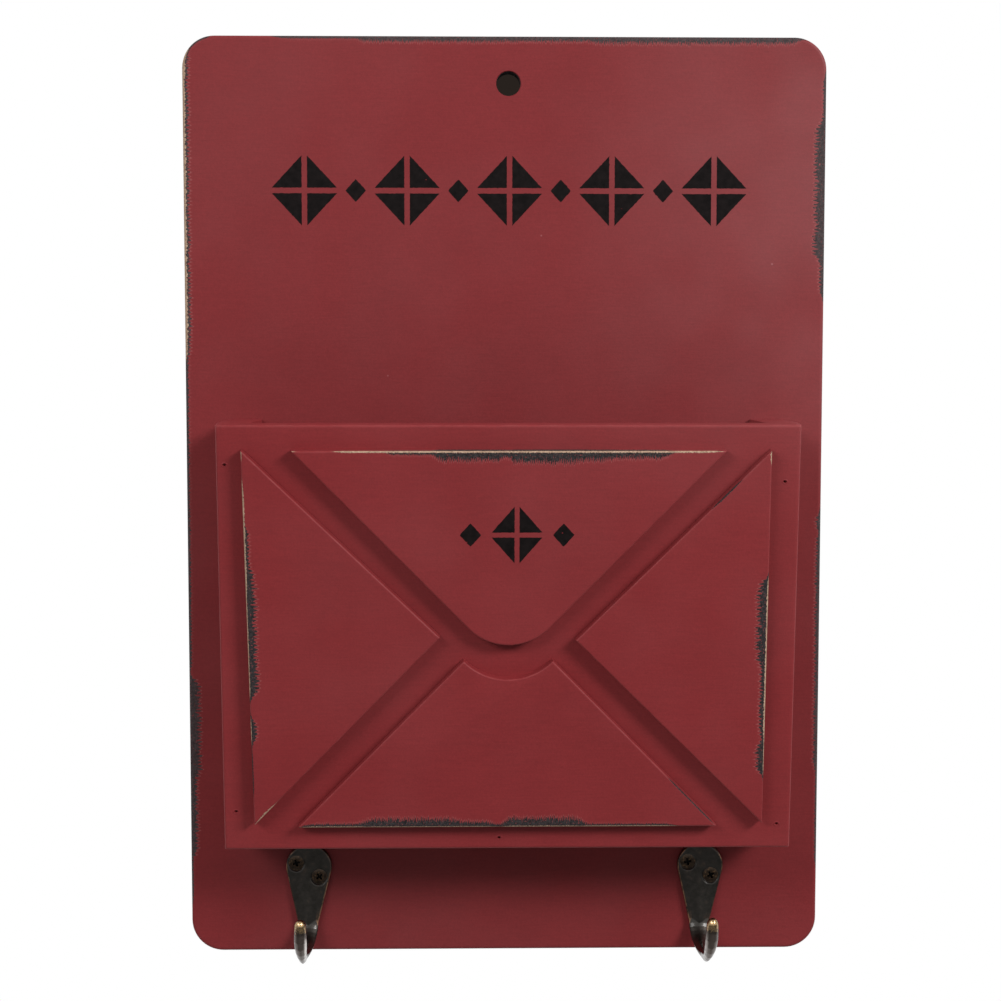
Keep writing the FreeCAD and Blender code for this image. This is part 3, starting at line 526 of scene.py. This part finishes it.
bm = new_outline([(0, -SIDE_HEIGHT / 2), (SIDE_REACH, 0), (0, SIDE_HEIGHT / 2)])
bmesh.ops.transform(bm, matrix=Matrix.Rotation(math.radians(0.9), 4, "Z"), verts=bm.verts[:])
left = 11.0 - POCKET_HALF
bmesh.ops.translate(bm, vec=(left, 11.3 + SIDE_HEIGHT / 2, 0), verts=bm.verts[:])
lay_flap(bm, "envelope_left", (
    ((left - 1, 158), (left - 1, 153), 0.4, 0.9), ((left - 1, 146), (left - 1, 112), 0.7, 0.8),
    ((left, 130), (left, 100), 1.8, 0.8), ((left, 114), (left, 61), 3.4, 0.5), ((left, 55), (left, 43), 2.6, 0.4),
    ((left + 1, 43), (left + 1, 22), 0.5, 0.0), ((left + 1, 12), (left + 10, 20.5), 0.6, 0.8),
), "flap_left")

right = POCKET_HALF - 11.6
bm = new_outline([
    (right, 11.3), (right, 11.3 + SIDE_HEIGHT), (right - SIDE_REACH, 11.3 + SIDE_HEIGHT / 2),
])
lay_flap(bm, "envelope_right", (
    ((right, 109), (right, 72), 3.8, 0.7), ((right, 80), (right, 44), 2.2, 0.8), ((right, 46), (right, 30), 3.2, 0.4),
    ((right, 158), (right, 152), 0.5, 1.3), ((right - 22, 134), (right - 10, 146), 0.6, 0.0),
), "flap_right")

slope = math.atan2(TOP_EDGE - NOSE_CENTRE, TOP_HALF)
slope += math.asin(NOSE_RADIUS / math.hypot(TOP_EDGE - NOSE_CENTRE, TOP_HALF))
tip = NOSE_CENTRE - NOSE_RADIUS / math.cos(slope)
bm = new_outline([(-TOP_HALF, TOP_EDGE), (0, tip), (TOP_HALF, TOP_EDGE)])
bm.verts.ensure_lookup_table()
bmesh.ops.bevel(
    bm, geom=[bm.verts[1]], offset=NOSE_RADIUS * math.tan(slope), segments=24, profile=0.5,
    affect="VERTICES", material=-1,
)
lay_flap(bm, "envelope_top", (
    ((-66, TOP_EDGE), (80, TOP_EDGE), 0.7, 0.75), ((-48, TOP_EDGE), (-20, TOP_EDGE), 1.5, 0.75),
    ((-30, TOP_EDGE), (1, TOP_EDGE), 3.6, 0.75), ((-2, TOP_EDGE), (30, TOP_EDGE), 4.5, 0.75),
    ((16, TOP_EDGE), (43, TOP_EDGE), 3.5, 0.7), ((37, TOP_EDGE), (62, TOP_EDGE), 2.7, 0.7),
    ((-82, TOP_EDGE), (-79.5, TOP_EDGE), 0.4, 0.9),
), "flap_top")

throat = HOLLOW_CENTRE - math.sqrt(HOLLOW_RADIUS ** 2 - THROAT_HALF ** 2)
rise = (throat - 10.4) / (FOOT_HALF - THROAT_HALF)
head, head_half = throat + 6, THROAT_HALF - 6 / rise
bm = new_outline([
    (FOOT_SHIFT - FOOT_HALF, 10.4), (FOOT_SHIFT + FOOT_HALF, 10.4),
    (FOOT_SHIFT + head_half, head), (FOOT_SHIFT - head_half, head),
])
saw_slab(bm, FLAP_THICK, FLAP_EASING, back_arris=0.2, corner=0.15)
flap = to_object(bm, "envelope_foot")
scoop = [(0, -1), (HOLLOW_RADIUS, -1)]
for degrees in range(0, 100, 15):
    part = math.radians(degrees)
    scoop.append((
        HOLLOW_RADIUS + FLAP_EASING * (1 - math.cos(part)),
        FLAP_THICK - FLAP_EASING * (1 - math.sin(part)),
    ))
scoop += [(HOLLOW_RADIUS + FLAP_EASING, FLAP_THICK + 1), (0, FLAP_THICK + 1)]
cut_away(flap, [to_object(turn_round(scoop, 120, spot=(FOOT_SHIFT, HOLLOW_CENTRE)), "cutter")])
sweep = math.asin(THROAT_HALF / HOLLOW_RADIUS)
outline = [(FOOT_SHIFT - FOOT_HALF, 10.4), (FOOT_SHIFT + FOOT_HALF, 10.4)]
for step in range(21):
    part = sweep * (1 - step / 10)
    outline.append((
        FOOT_SHIFT + HOLLOW_RADIUS * math.sin(part), HOLLOW_CENTRE - HOLLOW_RADIUS * math.cos(part),
    ))
lay_wear(flap, outline, FLAP_THICK, (
    ((-81, 10.4), (-52, 10.4), 1.6, 0.6), ((-58, 10.4), (-16, 10.4), 3.5, 0.5), ((-24, 10.4), (-3, 10.4), 2.3, 0.5),
    ((-4, 10.4), (31, 10.4), 3.8, 0.6), ((26, 10.4), (66, 10.4), 1.3, 0.6), ((80, 11), (60, 30), 0.55, 0.0),
))
finish_piece(flap, on_panel_face, pocket_paint, "red_paint", "flap_foot")

# Brads. Flat steel wire nails, driven below the paint at the panel's edges and from behind the
# board; only their heads show, at the bottom of small holes, and the paint is burred up there.
brad_steel, tree, shader = new_material("drawn_steel_wire", Metallic=1.0, Roughness=0.4)
coords = add_node(tree, "TexCoord").outputs["Object"]
# grime in spots of 0.4 mm, as on wire that was handled before it was driven
grime = add_node(tree, "TexNoise", {"Vector": coords, "Scale": 2500.0, "Detail": 2.0})
steel = set_ramp(
    add_node(tree, "ValToRGB", {"Fac": grime}),
    (0.3, linear("#2E2A29")), (0.7, linear("#5E5956")),
)
feed(tree, shader, {"Base Color": steel})
for name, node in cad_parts.items():
    if "brad" in name:
        for slot in node.material_slots:
            slot.material = brad_steel



def gather(bm, part):
    # Adds the shape in part to the shape in bm
    mesh = bpy.data.meshes.new("part")
    part.to_mesh(mesh)
    part.free()
    bm.from_mesh(mesh)
    bpy.data.meshes.remove(mesh)


bm = bmesh.new()
for spot in FRONT_BRADS:
    burr = ((0.57, -0.05), (0.59, 0.05), (0.68, 0.1), (0.81, 0.08), (1.0, 0.0), (0.95, -0.05))
    gather(bm, turn_round(burr, 24, 1.3, spot, closed=True))
burrs = to_object(bm, "paint_burrs")
lay_wear(burrs, [(-300, -300), (300, -300), (300, 300), (-300, 300)], 0.0)
finish_piece(burrs, on_panel_face, pocket_paint, "red_paint")

# Stencilled ornament. A band of lozenges across the board and a smaller group on the top flap,
# dabbed on through a cut plate in black paint. The plate's bridges leave bare red crosses, the
# edges bled a little, and pin-holes let the red through.
BAND_HEIGHT = 123.0
BAND_MIDDLE = 1.7
BAND_STEP = 40.5
BAND_LOZENGE = (28.0, 30.0, 1.9)
FLAP_GROUP = (3.0, 125.0)
FLAP_LOZENGE = (21.0, 24.0, 1.6)
FLAP_STEP = 17.5
SPACER = (8.5, 9.5, 0)
BLEED = 0.16
PAINT_FILM = 0.045


def stencil_mark(bm, x, y, wide, tall, bridge):
    # One lozenge, left in four quarters by bridges of the given width, or solid
    mark = bmesh.new()
    shape = Matrix.Diagonal((wide / 2, tall / 2, 1, 1))
    bmesh.ops.create_circle(mark, cap_ends=True, segments=4, radius=1.0, matrix=shape)
    for normal in ((1, 0, 0), (0, 1, 0)):
        for side in (-1, 1) if bridge else ():
            bmesh.ops.bisect_plane(
                mark, geom=mark.verts[:] + mark.edges[:] + mark.faces[:],
                plane_co=side * bridge / 2 * Vector(normal), plane_no=normal,
            )
    crossed = [
        face for face in mark.faces
        if min(abs(part) for part in face.calc_center_median().xy) < bridge / 2 * 0.99
    ]
    bmesh.ops.delete(mark, geom=crossed, context="FACES")
    bmesh.ops.subdivide_edges(mark, edges=mark.edges[:], cuts=int(wide * 0.75), use_grid_fill=True)
    bmesh.ops.smooth_vert(mark, verts=mark.verts[:], factor=0.5, use_axis_x=True, use_axis_y=True)
    for vert in mark.verts:
        spot = Vector((vert.co.x + x, vert.co.y + y, 0.0))
        vert.co += BLEED * Vector((noise.noise(spot * 1.3), noise.noise(spot * 1.3 + Vector((9, 9, 9))), 0))
    thicken(mark, PAINT_FILM)
    bmesh.ops.translate(mark, verts=mark.verts[:], vec=(x, y, 0))
    gather(bm, mark)


# Matt black acrylic dabbed on with a stencil brush: near black, slightly uneven, with a soft
# sheen and tiny gaps
stencil_black, tree, shader = new_material("stencil_acrylic_dabbed_black", Roughness=0.6, Specular_IOR_Level=0.05)
coords = add_node(tree, "TexCoord").outputs["Object"]
dabs = add_node(tree, "TexNoise", {"Vector": coords, "Scale": 330.0, "Detail": 4.0, "Roughness": 0.6})
black = set_ramp(
    add_node(tree, "ValToRGB", {"Fac": dabs}), (0.35, linear("#0F0C0C")), (0.7, linear("#1C1717")),
)
# pin-holes of 0.3 to 0.8 mm, a few in each mark, more of them in some marks than in others
spots = add_node(tree, "TexVoronoi", {"Vector": coords, "Scale": 210.0, "Randomness": 1.0})
where = add_node(tree, "TexNoise", {"Vector": coords, "Scale": 45.0, "Detail": 2.0})
size = add_node(tree, "MapRange", {"Value": where, 1: 0.45, 2: 0.7, 3: 0.0, 4: 0.11})
open_spot = add_node(tree, "Math", {0: spots, 1: size}, operation="LESS_THAN")
colour = add_node(tree, "Mix", {0: open_spot, 6: black, 7: linear("#7E2A2D")}, data_type="RGBA")
bump = add_node(tree, "Bump", {"Height": dabs, "Distance": 0.00005, "Strength": 0.5})
feed(tree, shader, {"Base Color": colour, "Normal": bump})

bm = bmesh.new()
for step in range(-2, 3):
    stencil_mark(bm, BAND_MIDDLE + step * BAND_STEP, BAND_HEIGHT, *BAND_LOZENGE)
for step in (-1.5, -0.5, 0.5, 1.5):
    stencil_mark(bm, BAND_MIDDLE + step * BAND_STEP, BAND_HEIGHT, *SPACER)
band = to_object(bm, "stencil_band")
finish_piece(band, upright @ Matrix.Translation((0, 0, BOARD_THICK)), stencil_black, "red_paint")

bm = bmesh.new()
x, y = FLAP_GROUP
stencil_mark(bm, x, y, *FLAP_LOZENGE)
stencil_mark(bm, x - FLAP_STEP, y, *SPACER)
stencil_mark(bm, x + FLAP_STEP, y, *SPACER)
group = to_object(bm, "stencil_small")
finish_piece(group, on_panel_face @ Matrix.Translation((0, 0, FLAP_THICK)), stencil_black, "red_paint")

# Hooks. Each is one small zinc casting, a teardrop plate with a low keel and two countersunk
# holes, and a prong that swells out of its tail and ends in a small bead. The dark bronze
# finish is rubbed bright on its rim and tip. Neither hangs quite straight.
HOOK_INSET = 79.3
FOOT = -183.25
PLATE_THICK = 2.2
PLATE_HEAD = (35.0, 9.2)
PLATE_TAIL = (12.0, 4.0)
KEEL = 1.4
KEEL_LOW, KEEL_HIGH, KEEL_CUT = 12, 43.6, 0.6
# the prong at its heel, sole and tip: height, depth, half width and half thickness
HEEL = (13.0, 1.9, 4.2, 1.1)
SOLE = (3.2, 17.5, 1.1, 2.1)
TIP = (20.8, 36.0, 2.3, 2.7)
DIAMOND = 1.6
CLIMB_WIDE = (1.1, 1.2, 1.35, 1.6, 1.9, 2.2, 2.4, 2.5, 2.45, 2.3)
SCREW_SPOTS = {"upper": (-5.1, 36.5), "lower": (4.3, 31.1)}
SCREW_HEAD, SCREW_SINK, SCREW_BELOW, SCREW_SHANK = 3.2, 1.5, 0.2, 1.3


def slice_at(depth, height, half_wide, half_thick, lean):
    # The matrix that turns a unit circle into one slice of the casting; lean is about X
    matrix = Matrix.Translation((0, -depth, height)) @ Matrix.Rotation(lean, 4, "X")
    return matrix @ Matrix.Diagonal((half_wide, half_thick, 1, 1))


def cast_plate():
    # Outline of two arcs, the small one run out by spinning a vertex; drawn lying down
    taper = math.asin((PLATE_HEAD[1] - PLATE_TAIL[1]) / (PLATE_HEAD[0] - PLATE_TAIL[0]))
    bm = bmesh.new()
    ends = []
    for (height, radius), first, sweep, steps in (
        (PLATE_HEAD, -taper, math.pi + 2 * taper, 44),
        (PLATE_TAIL, math.pi + taper, math.pi - 2 * taper, 20),
    ):
        middle = Vector((0, height, 0))
        start = bm.verts.new(middle + radius * Vector((math.cos(first), math.sin(first), 0)))
        last = bmesh.ops.spin(bm, geom=[start], cent=middle, axis=(0, 0, 1), angle=sweep, steps=steps)
        ends += [start, last["geom_last"][0]]
    bm.edges.new((ends[1], ends[2]))
    bm.edges.new((ends[3], ends[0]))
    bmesh.ops.contextual_create(bm, geom=bm.edges[:])
    thicken(bm, PLATE_THICK)
    rim = [edge for edge in bm.edges if all(vert.co.z > PLATE_THICK / 2 for vert in edge.verts)]
    bmesh.ops.bevel(bm, geom=rim, offset=0.6, segments=4, profile=0.5, affect="EDGES", material=-1)
    # the keel is raised along the middle line, more towards the tail
    cuts = [((0, KEEL_LOW + KEEL_CUT * step, 0), (0, 1, 0)) for step in range(52)]
    cuts.append(((0, 0, 0), (1, 0, 0)))
    for spot, normal in cuts:
        front = [face for face in bm.faces if face.normal.z > 0.999]
        edges = {edge for face in front for edge in face.edges}
        verts = {vert for face in front for vert in face.verts}
        bmesh.ops.bisect_plane(
            bm, geom=front + list(edges) + list(verts), plane_co=spot, plane_no=normal,
        )
    for vert in bm.verts:
        if abs(vert.co.x) < 1e-3 and vert.co.z > PLATE_THICK - 1e-3:
            vert.co.z += KEEL * min(1, (KEEL_HIGH - vert.co.y) / (KEEL_HIGH - HEEL[0])) ** 1.3
    bmesh.ops.triangulate(bm, faces=[face for face in bm.faces if len(face.verts) > 4])
    plate = to_object(bm, "plate")
    seat = (
        (0, PLATE_THICK + 3), (SCREW_HEAD + 0.3, PLATE_THICK + 3), (SCREW_HEAD + 0.3, PLATE_THICK),
        (SCREW_SHANK + 0.05, PLATE_THICK - SCREW_BELOW - SCREW_SINK), (SCREW_SHANK + 0.05, -1), (0, -1),
    )
    cut_away(plate, [to_object(turn_round(seat, 48, spot=spot), "cutter") for spot in SCREW_SPOTS.values()])
    plate.data.transform(Matrix.Rotation(math.pi / 2, 4, "X"))
    return plate


def quarter(steps):
    # The sine and cosine of each step, given in degrees
    return [(math.sin(math.radians(step)), math.cos(math.radians(step))) for step in steps]


def cast_hook(name, lean):
    # The plate and the prong, run together as in the mould; lean is how far the tip is aside
    plate = cast_plate()
    bm = bmesh.new()
    bm.from_mesh(plate.data)
    bpy.data.objects.remove(plate)
    slices = [slice_at(1.2, 20.0, 3.6, 0.7, math.pi)]
    back, drop = SOLE[1] - HEEL[1], HEEL[0] - SOLE[0]
    for gone, left in quarter(range(0, 90, 10)):
        slices.append(slice_at(
            SOLE[1] - back * left, HEEL[0] - drop * gone,
            SOLE[2] + (HEEL[2] - SOLE[2]) * left ** 0.8, HEEL[3] + (SOLE[3] - HEEL[3]) * gone,
            math.pi - math.atan2(back * gone, drop * left),
        ))
    reach, rise = TIP[1] - SOLE[1], TIP[0] - SOLE[0]
    for (gone, left), wide in zip(quarter(range(0, 100, 10)), CLIMB_WIDE):
        slices.append(slice_at(
            SOLE[1] + reach * gone, TIP[0] - rise * left, wide, TIP[2] + (SOLE[3] - TIP[2]) * left,
            math.pi / 2 - math.atan2(rise * gone, reach * left),
        ))
    for gone, left in quarter(range(15, 90, 15)):
        slices.append(slice_at(TIP[1], TIP[0] + TIP[3] * gone, TIP[2] * left, TIP[2] * left, 0))
    ring = bmesh.ops.create_circle(bm, cap_ends=True, segments=32, radius=1.0)["verts"]
    for vert in ring:
        # the section is a diamond with well rounded corners
        vert.co /= (abs(vert.co.x) ** DIAMOND + abs(vert.co.y) ** DIAMOND) ** (1 / DIAMOND)
    bmesh.ops.transform(bm, matrix=slices[0], verts=ring)
    edges = list({edge for vert in ring for edge in vert.link_edges})
    prong = list(ring)
    for before, after in zip(slices, slices[1:]):
        grown = bmesh.ops.extrude_edge_only(bm, edges=edges)["geom"]
        ring = [item for item in grown if isinstance(item, bmesh.types.BMVert)]
        edges = [item for item in grown if isinstance(item, bmesh.types.BMEdge)]
        edges = [edge for edge in edges if all(vert in ring for vert in edge.verts)]
        bmesh.ops.transform(bm, matrix=after @ before.inverted(), verts=ring)
        prong += ring
    bmesh.ops.contextual_create(bm, geom=edges)
    for vert in prong:
        vert.co.x += lean * max(0.0, -vert.co.y - SOLE[1]) / (TIP[1] - SOLE[1])
    bmesh.ops.recalc_face_normals(bm, faces=bm.faces[:])
    casting = to_object(bm, name)
    skin = casting.modifiers.new("skin", "REMESH")
    skin.mode = "VOXEL"
    skin.voxel_size = 0.22
    polish = casting.modifiers.new("polish", "SMOOTH")
    polish.factor = 0.5
    polish.iterations = 5
    apply_modifiers(casting)
    return casting


def rub_hook(casting, rubbed, keenness):
    # Marks where the finish is rubbed through: on the plate's rim, by stretches of (side, low,
    # high), round the tip, and more or less keenly on the prong's inner flank; and where it is
    # smoothest
    mesh = casting.data
    count = len(mesh.vertices)
    spots, normals = np.empty(count * 3), np.empty(count * 3)
    mesh.vertices.foreach_get("co", spots)
    mesh.vertices.foreach_get("normal", normals)
    x, depth, height = spots[0::3], -spots[1::3], spots[2::3]
    slant = np.abs(normals[1::3])
    on_rim = np.clip(1.6 - np.abs(slant - 0.62) / 0.22, 0, 1) * (depth < 2.5) * (depth > 1.2)
    for across, up in SCREW_SPOTS.values():
        on_rim = on_rim * (np.hypot(x - across, height - up) > SCREW_HEAD + 0.6)
    worn = 0.25 * on_rim * (height > 9)
    for side, low, high in rubbed:
        stretch = soften((height - low) / 2 + 0.5) * soften((high - height) / 2 + 0.5)
        worn = np.maximum(worn, on_rim * stretch * (x * side > 0))
    from_tip = np.sqrt((depth - TIP[1] - 1) ** 2 + (height - TIP[0] - 2) ** 2)
    bright = soften((7.6 - from_tip) / 5)
    smooth = soften((depth - 4) / 8)
    flank = soften((normals[0::3] * rubbed[0][0] - 0.6) / 0.2) * soften((depth - 22) / 6)
    flank = flank * soften((17 - height) / 3) * soften((height - 3) / 4) * keenness
    for name, values in (("worn", worn), ("bright", bright), ("smooth", smooth), ("flank", flank)):
        mesh.attributes.new(name, "FLOAT", "POINT").data.foreach_set("value", values.astype("f"))


def dark_bronze():
    # Cast zinc with a dark bronze lacquer, rubbed back: almost black in the flats, coppery on
    # rims and brassy at the tip, matt on the plate and glossy on the prong
    material, tree, shader = new_material(
        "cast_zinc_rubbed_bronze", Metallic=1.0, Coat_Weight=0.3, Coat_Roughness=0.12,
    )
    coords = add_node(tree, "TexCoord").outputs["Object"]
    # cloudy rubbing 2.5 mm across, broken up into grains of 0.3 mm
    patch = add_node(tree, "TexNoise", {"Vector": coords, "Scale": 400.0, "Detail": 5.0, "Roughness": 0.7})
    dark = set_ramp(
        add_node(tree, "ValToRGB", {"Fac": patch}),
        (0.35, linear("#2B2926")), (0.58, linear("#363330")), (0.75, linear("#4A3E35")),
    )
    smooth = add_node(tree, "Attribute", attribute_name="smooth")
    handled = add_node(tree, "Math", {0: smooth.outputs["Fac"], 1: 0.45}, operation="MULTIPLY")
    dark = add_node(tree, "Mix", {0: handled, 6: dark, 7: linear("#665851")}, data_type="RGBA")
    level = add_node(tree, "MapRange", {"Value": patch, 1: 0.36, 2: 0.54, 3: 0.0, 4: 1.0})
    worn = add_node(tree, "Attribute", attribute_name="worn")
    rub = add_node(tree, "Math", {0: worn.outputs["Fac"], 1: level}, operation="MULTIPLY")
    bright = add_node(tree, "Attribute", attribute_name="bright")
    grains = add_node(tree, "TexNoise", {"Vector": coords, "Scale": 1700.0, "Detail": 2.0, "Roughness": 0.6})
    reach = add_node(tree, "Math", {0: grains, 1: 1.6, 2: bright.outputs["Fac"]}, operation="MULTIPLY_ADD")
    gold = add_node(tree, "MapRange", {"Value": reach, 1: 1.56, 2: 1.78, 3: 0.0, 4: 1.0})
    flank = add_node(tree, "Attribute", attribute_name="flank")
    bared = add_node(tree, "Math", {0: flank.outputs["Fac"], 1: level}, operation="MULTIPLY")
    colour = dark
    for amount, metal in ((rub, "#A87E60"), (gold, "#A98D66"), (bared, "#CFC9C4")):
        colour = add_node(tree, "Mix", {0: amount, 6: colour, 7: linear(metal)}, data_type="RGBA")
    rough = add_node(tree, "MapRange", {"Value": smooth.outputs["Fac"], 3: 0.42, 4: 0.2})
    uneven = add_node(tree, "Math", {0: patch, 1: 0.12, 2: rough}, operation="MULTIPLY_ADD")
    bump = add_node(tree, "Bump", {"Height": grains, "Distance": 0.00005, "Strength": 0.6})
    feed(tree, shader, {"Base Color": colour, "Roughness": uneven, "Normal": bump})
    return material


def hang_matrix(across, turn):
    # From a hook's own drawing to the model: turned about the middle of its head
    middle = Matrix.Translation((across, -BOARD_THICK, FOOT + PLATE_HEAD[0]))
    straight = Matrix.Translation((0, 0, -PLATE_HEAD[0]))
    return Matrix.Scale(0.001, 4) @ middle @ Matrix.Rotation(math.radians(turn), 4, "Y") @ straight


bronze = dark_bronze()
HOOKS = {
    "left": (-HOOK_INSET, 1.0, -0.4, ((1, 9, 33), (-1, 29, 41)), 1.0),
    "right": (HOOK_INSET, 0.6, 0.9, ((-1, 9, 42), (1, 33, 40)), 0.4),
}
for side, (across, turn, lean, rubbed, keenness) in HOOKS.items():
    casting = cast_hook("cast_hook_" + side, lean)
    rub_hook(casting, rubbed, keenness)
    finish_piece(casting, hang_matrix(across, turn), bronze, "bronzed_casting", "hook_" + side)

# Hook screws. Flat countersunk steel screws with a cross recess, blackened, with the brown of
# the metal showing where the driver and the bin rubbed them. They sit just below the plate.
SCREW_LENGTH, SCREW_POINT = 9.5, 2.5
CROSS_SPAN, CROSS_WIDTH, CROSS_DEEP = 3.8, 1.0, 1.1


def turn_screw(name, cross_turn):
    # Drawn with its axis along out and its head's face at 0; the recess narrows as it goes down
    profile = (
        (0, 0.03), (1.6, 0.0), (SCREW_HEAD - 0.35, -0.04), (SCREW_HEAD - 0.12, -0.1), (SCREW_HEAD, -0.24),
        (SCREW_HEAD - 0.1, -0.36), (SCREW_SHANK, -SCREW_SINK), (SCREW_SHANK, SCREW_POINT - SCREW_LENGTH),
        (0, -SCREW_LENGTH),
    )
    screw = to_object(turn_round(profile, 48), name)
    cutters = []
    for quarter in (0, 1):
        bm = bmesh.new()
        bmesh.ops.create_cube(bm, size=1.0, matrix=Matrix.Diagonal((CROSS_SPAN, CROSS_WIDTH, 2 * CROSS_DEEP, 1)))
        low = [vert for vert in bm.verts if vert.co.z < 0]
        bmesh.ops.scale(bm, vec=(0.6, 0.8, 1), verts=low)
        turn = Matrix.Rotation(math.radians(cross_turn + 90 * quarter), 4, "Z")
        bmesh.ops.transform(bm, matrix=turn, verts=bm.verts[:])
        cutters.append(to_object(bm, "cutter"))
    cut_away(screw, cutters)
    mesh = screw.data
    # marks the cross recess, where the material paints shade
    deep = mesh.attributes.new("deep", "FLOAT", "POINT")
    for index, vert in enumerate(mesh.vertices):
        inside = vert.co.xy.length < CROSS_SPAN / 2 + 0.1 and -CROSS_DEEP - 0.1 < vert.co.z < -0.1
        deep.data[index].value = 1.0 if inside else 0.0
    return screw


# Blackened steel, turned and tumbled: dark brown and fairly glossy on the face; the recess is painted near black, as
# painted shade
screw_steel, tree, shader = new_material("blackened_steel_turned", Metallic=1.0, Coat_Weight=0.2, Coat_Roughness=0.15)
coords = add_node(tree, "TexCoord").outputs["Object"]
tumbled = add_node(tree, "TexNoise", {"Vector": coords, "Scale": 900.0, "Detail": 4.0, "Roughness": 0.65})
brown = set_ramp(
    add_node(tree, "ValToRGB", {"Fac": tumbled}),
    (0.35, linear("#2A231E")), (0.55, linear("#3D3127")), (0.72, linear("#745A40")),
)
# the cross recess is painted near black: painted shade
deep = add_node(tree, "Attribute", attribute_name="deep")
colour = add_node(tree, "Mix", {0: deep.outputs["Fac"], 6: brown, 7: linear("#0B0A0A")}, data_type="RGBA")
rough = add_node(tree, "MapRange", {"Value": tumbled, 1: 0.3, 2: 0.7, 3: 0.28, 4: 0.45})
bump = add_node(tree, "Bump", {"Height": tumbled, "Distance": 0.00004, "Strength": 0.5})
feed(tree, shader, {"Base Color": colour, "Roughness": rough, "Normal": bump})

for side, level, cross_turn in (
    ("left", "upper", 20), ("left", "lower", 38), ("right", "upper", 12), ("right", "lower", 30),
):
    across, turn = HOOKS[side][:2]
    x, height = SCREW_SPOTS[level]
    screw = turn_screw("hook_screw_head_%s_%s" % (side, level), cross_turn)
    screw.data.transform(Matrix.Rotation(math.pi / 2, 4, "X"))
    screw.data.transform(Matrix.Translation((x, SCREW_BELOW - PLATE_THICK, height)))
    finish_piece(screw, hang_matrix(across, turn), screw_steel, "screw_steel", "hook_screw_%s_%s" % (side, level))

# Stage: a wall behind, seen only from the front, a pale floor, two soft boxes and the camera.
WALL_GAP = 0.0006
FLOOR_LEVEL = -1.2
BOX_AWAY = 1.7
LENS = 67.626
EYE_SPOT = (-0.01579, -0.75954, 0.05698)
EYE_ANGLES = (-1.0659, 4.3262, 0.0307)


def seen_straight(tree):
    # One for the rays of the camera, of gloss and of glass, and nothing for those that light
    ray = add_node(tree, "LightPath")
    direct = add_node(
        tree, "Math", {0: ray.outputs["Is Camera Ray"], 1: ray.outputs["Is Glossy Ray"]}, operation="MAXIMUM",
    )
    return add_node(tree, "Math", {0: direct, 1: ray.outputs["Is Transmission Ray"]}, operation="MAXIMUM")


# White emulsion, evenly bright to the eye; where the board's edge closes it in, as in the hanging hole, an occlusion
# node darkens it: painted shade
wall_paint = bpy.data.materials.new("wall_white")
wall_paint.use_nodes = True
tree = wall_paint.node_tree
tree.nodes.clear()
painted_shade_occlusion = add_node(tree, "AmbientOcclusion", {"Distance": 0.03}, samples=32)
shade = set_ramp(
    add_node(tree, "ValToRGB", {"Fac": painted_shade_occlusion.outputs["AO"]}),
    (0.34, linear("#28221E")), (0.45, (1, 1, 1, 1)),
)
glow = add_node(tree, "Emission", {"Color": shade, "Strength": 1.0})
clear = add_node(tree, "BsdfTransparent")
facing = add_node(tree, "NewGeometry")
front = add_node(tree, "Math", {0: 1.0, 1: facing.outputs["Backfacing"]}, operation="SUBTRACT")
seen = add_node(tree, "Math", {0: seen_straight(tree), 1: front}, operation="MULTIPLY")
mixed = add_node(tree, "MixShader", {0: seen, 1: clear, 2: glow})
add_node(tree, "OutputMaterial", {"Surface": mixed})
bm = bmesh.new()
standing = Matrix.Translation((0, WALL_GAP, 0)) @ Matrix.Rotation(math.pi / 2, 4, "X")
bmesh.ops.create_grid(bm, x_segments=1, y_segments=1, size=3.0, matrix=standing)
wall = to_object(bm, "wall")
wall.data.materials.append(wall_paint)

floor_paint, tree, shader = new_material("floor_white", Base_Color=linear("#E8E8E6"), Roughness=0.9)
bm = bmesh.new()
lying = Matrix.Translation((0, 0, FLOOR_LEVEL))
bmesh.ops.create_grid(bm, x_segments=1, y_segments=1, size=12.0, matrix=lying)
ground = to_object(bm, "ground")
ground.data.materials.append(floor_paint)

world = bpy.data.worlds.new("studio")
bpy.context.scene.world = world
world.use_nodes = True
tree = world.node_tree
tree.nodes.clear()
strength = add_node(tree, "MapRange", {"Value": seen_straight(tree), 3: 0.105, 4: 1.0})
sky = add_node(tree, "Background", {"Color": (1, 1, 1, 1), "Strength": strength})
add_node(tree, "OutputWorld", {"Surface": sky})

# each box by its turn to the side and its rise in degrees, its width and height, and its power
for name, aside, rise, size, power in (
    ("box_left", -46, 27, (1.15, 0.45), 14.8), ("box_right", 50, 27, (0.6, 0.45), 24.4),
):
    turn = Matrix.Rotation(math.radians(aside), 3, "Z") @ Matrix.Rotation(math.radians(-rise), 3, "X")
    spot = turn @ Vector((0, -BOX_AWAY, 0))
    lamp = bpy.data.lights.new(name, "AREA")
    lamp.shape = "RECTANGLE"
    lamp.size, lamp.size_y = size
    lamp.energy = power
    holder = bpy.data.objects.new(name, lamp)
    holder.location = spot
    holder.rotation_euler = (-spot).to_track_quat("-Z", "Y").to_euler()
    bpy.context.scene.collection.objects.link(holder)

turn, dip, roll = (math.radians(angle) for angle in EYE_ANGLES)
ahead = Vector((-math.sin(turn) * math.cos(dip), math.cos(turn) * math.cos(dip), -math.sin(dip)))
level = Vector((math.cos(turn), math.sin(turn), 0))
above = level.cross(ahead)
sight = Matrix((level, above, -ahead)).transposed().to_4x4() @ Matrix.Rotation(roll, 4, "Z")
sight.translation = EYE_SPOT
eye = bpy.data.cameras.new("camera")
eye.lens = LENS
eye.sensor_width = 36.0
eye.clip_start = 0.05
camera = bpy.data.objects.new("camera", eye)
camera.matrix_world = sight
bpy.context.scene.collection.objects.link(camera)
bpy.context.scene.camera = camera
bpy.context.scene.view_settings.view_transform = "Standard"
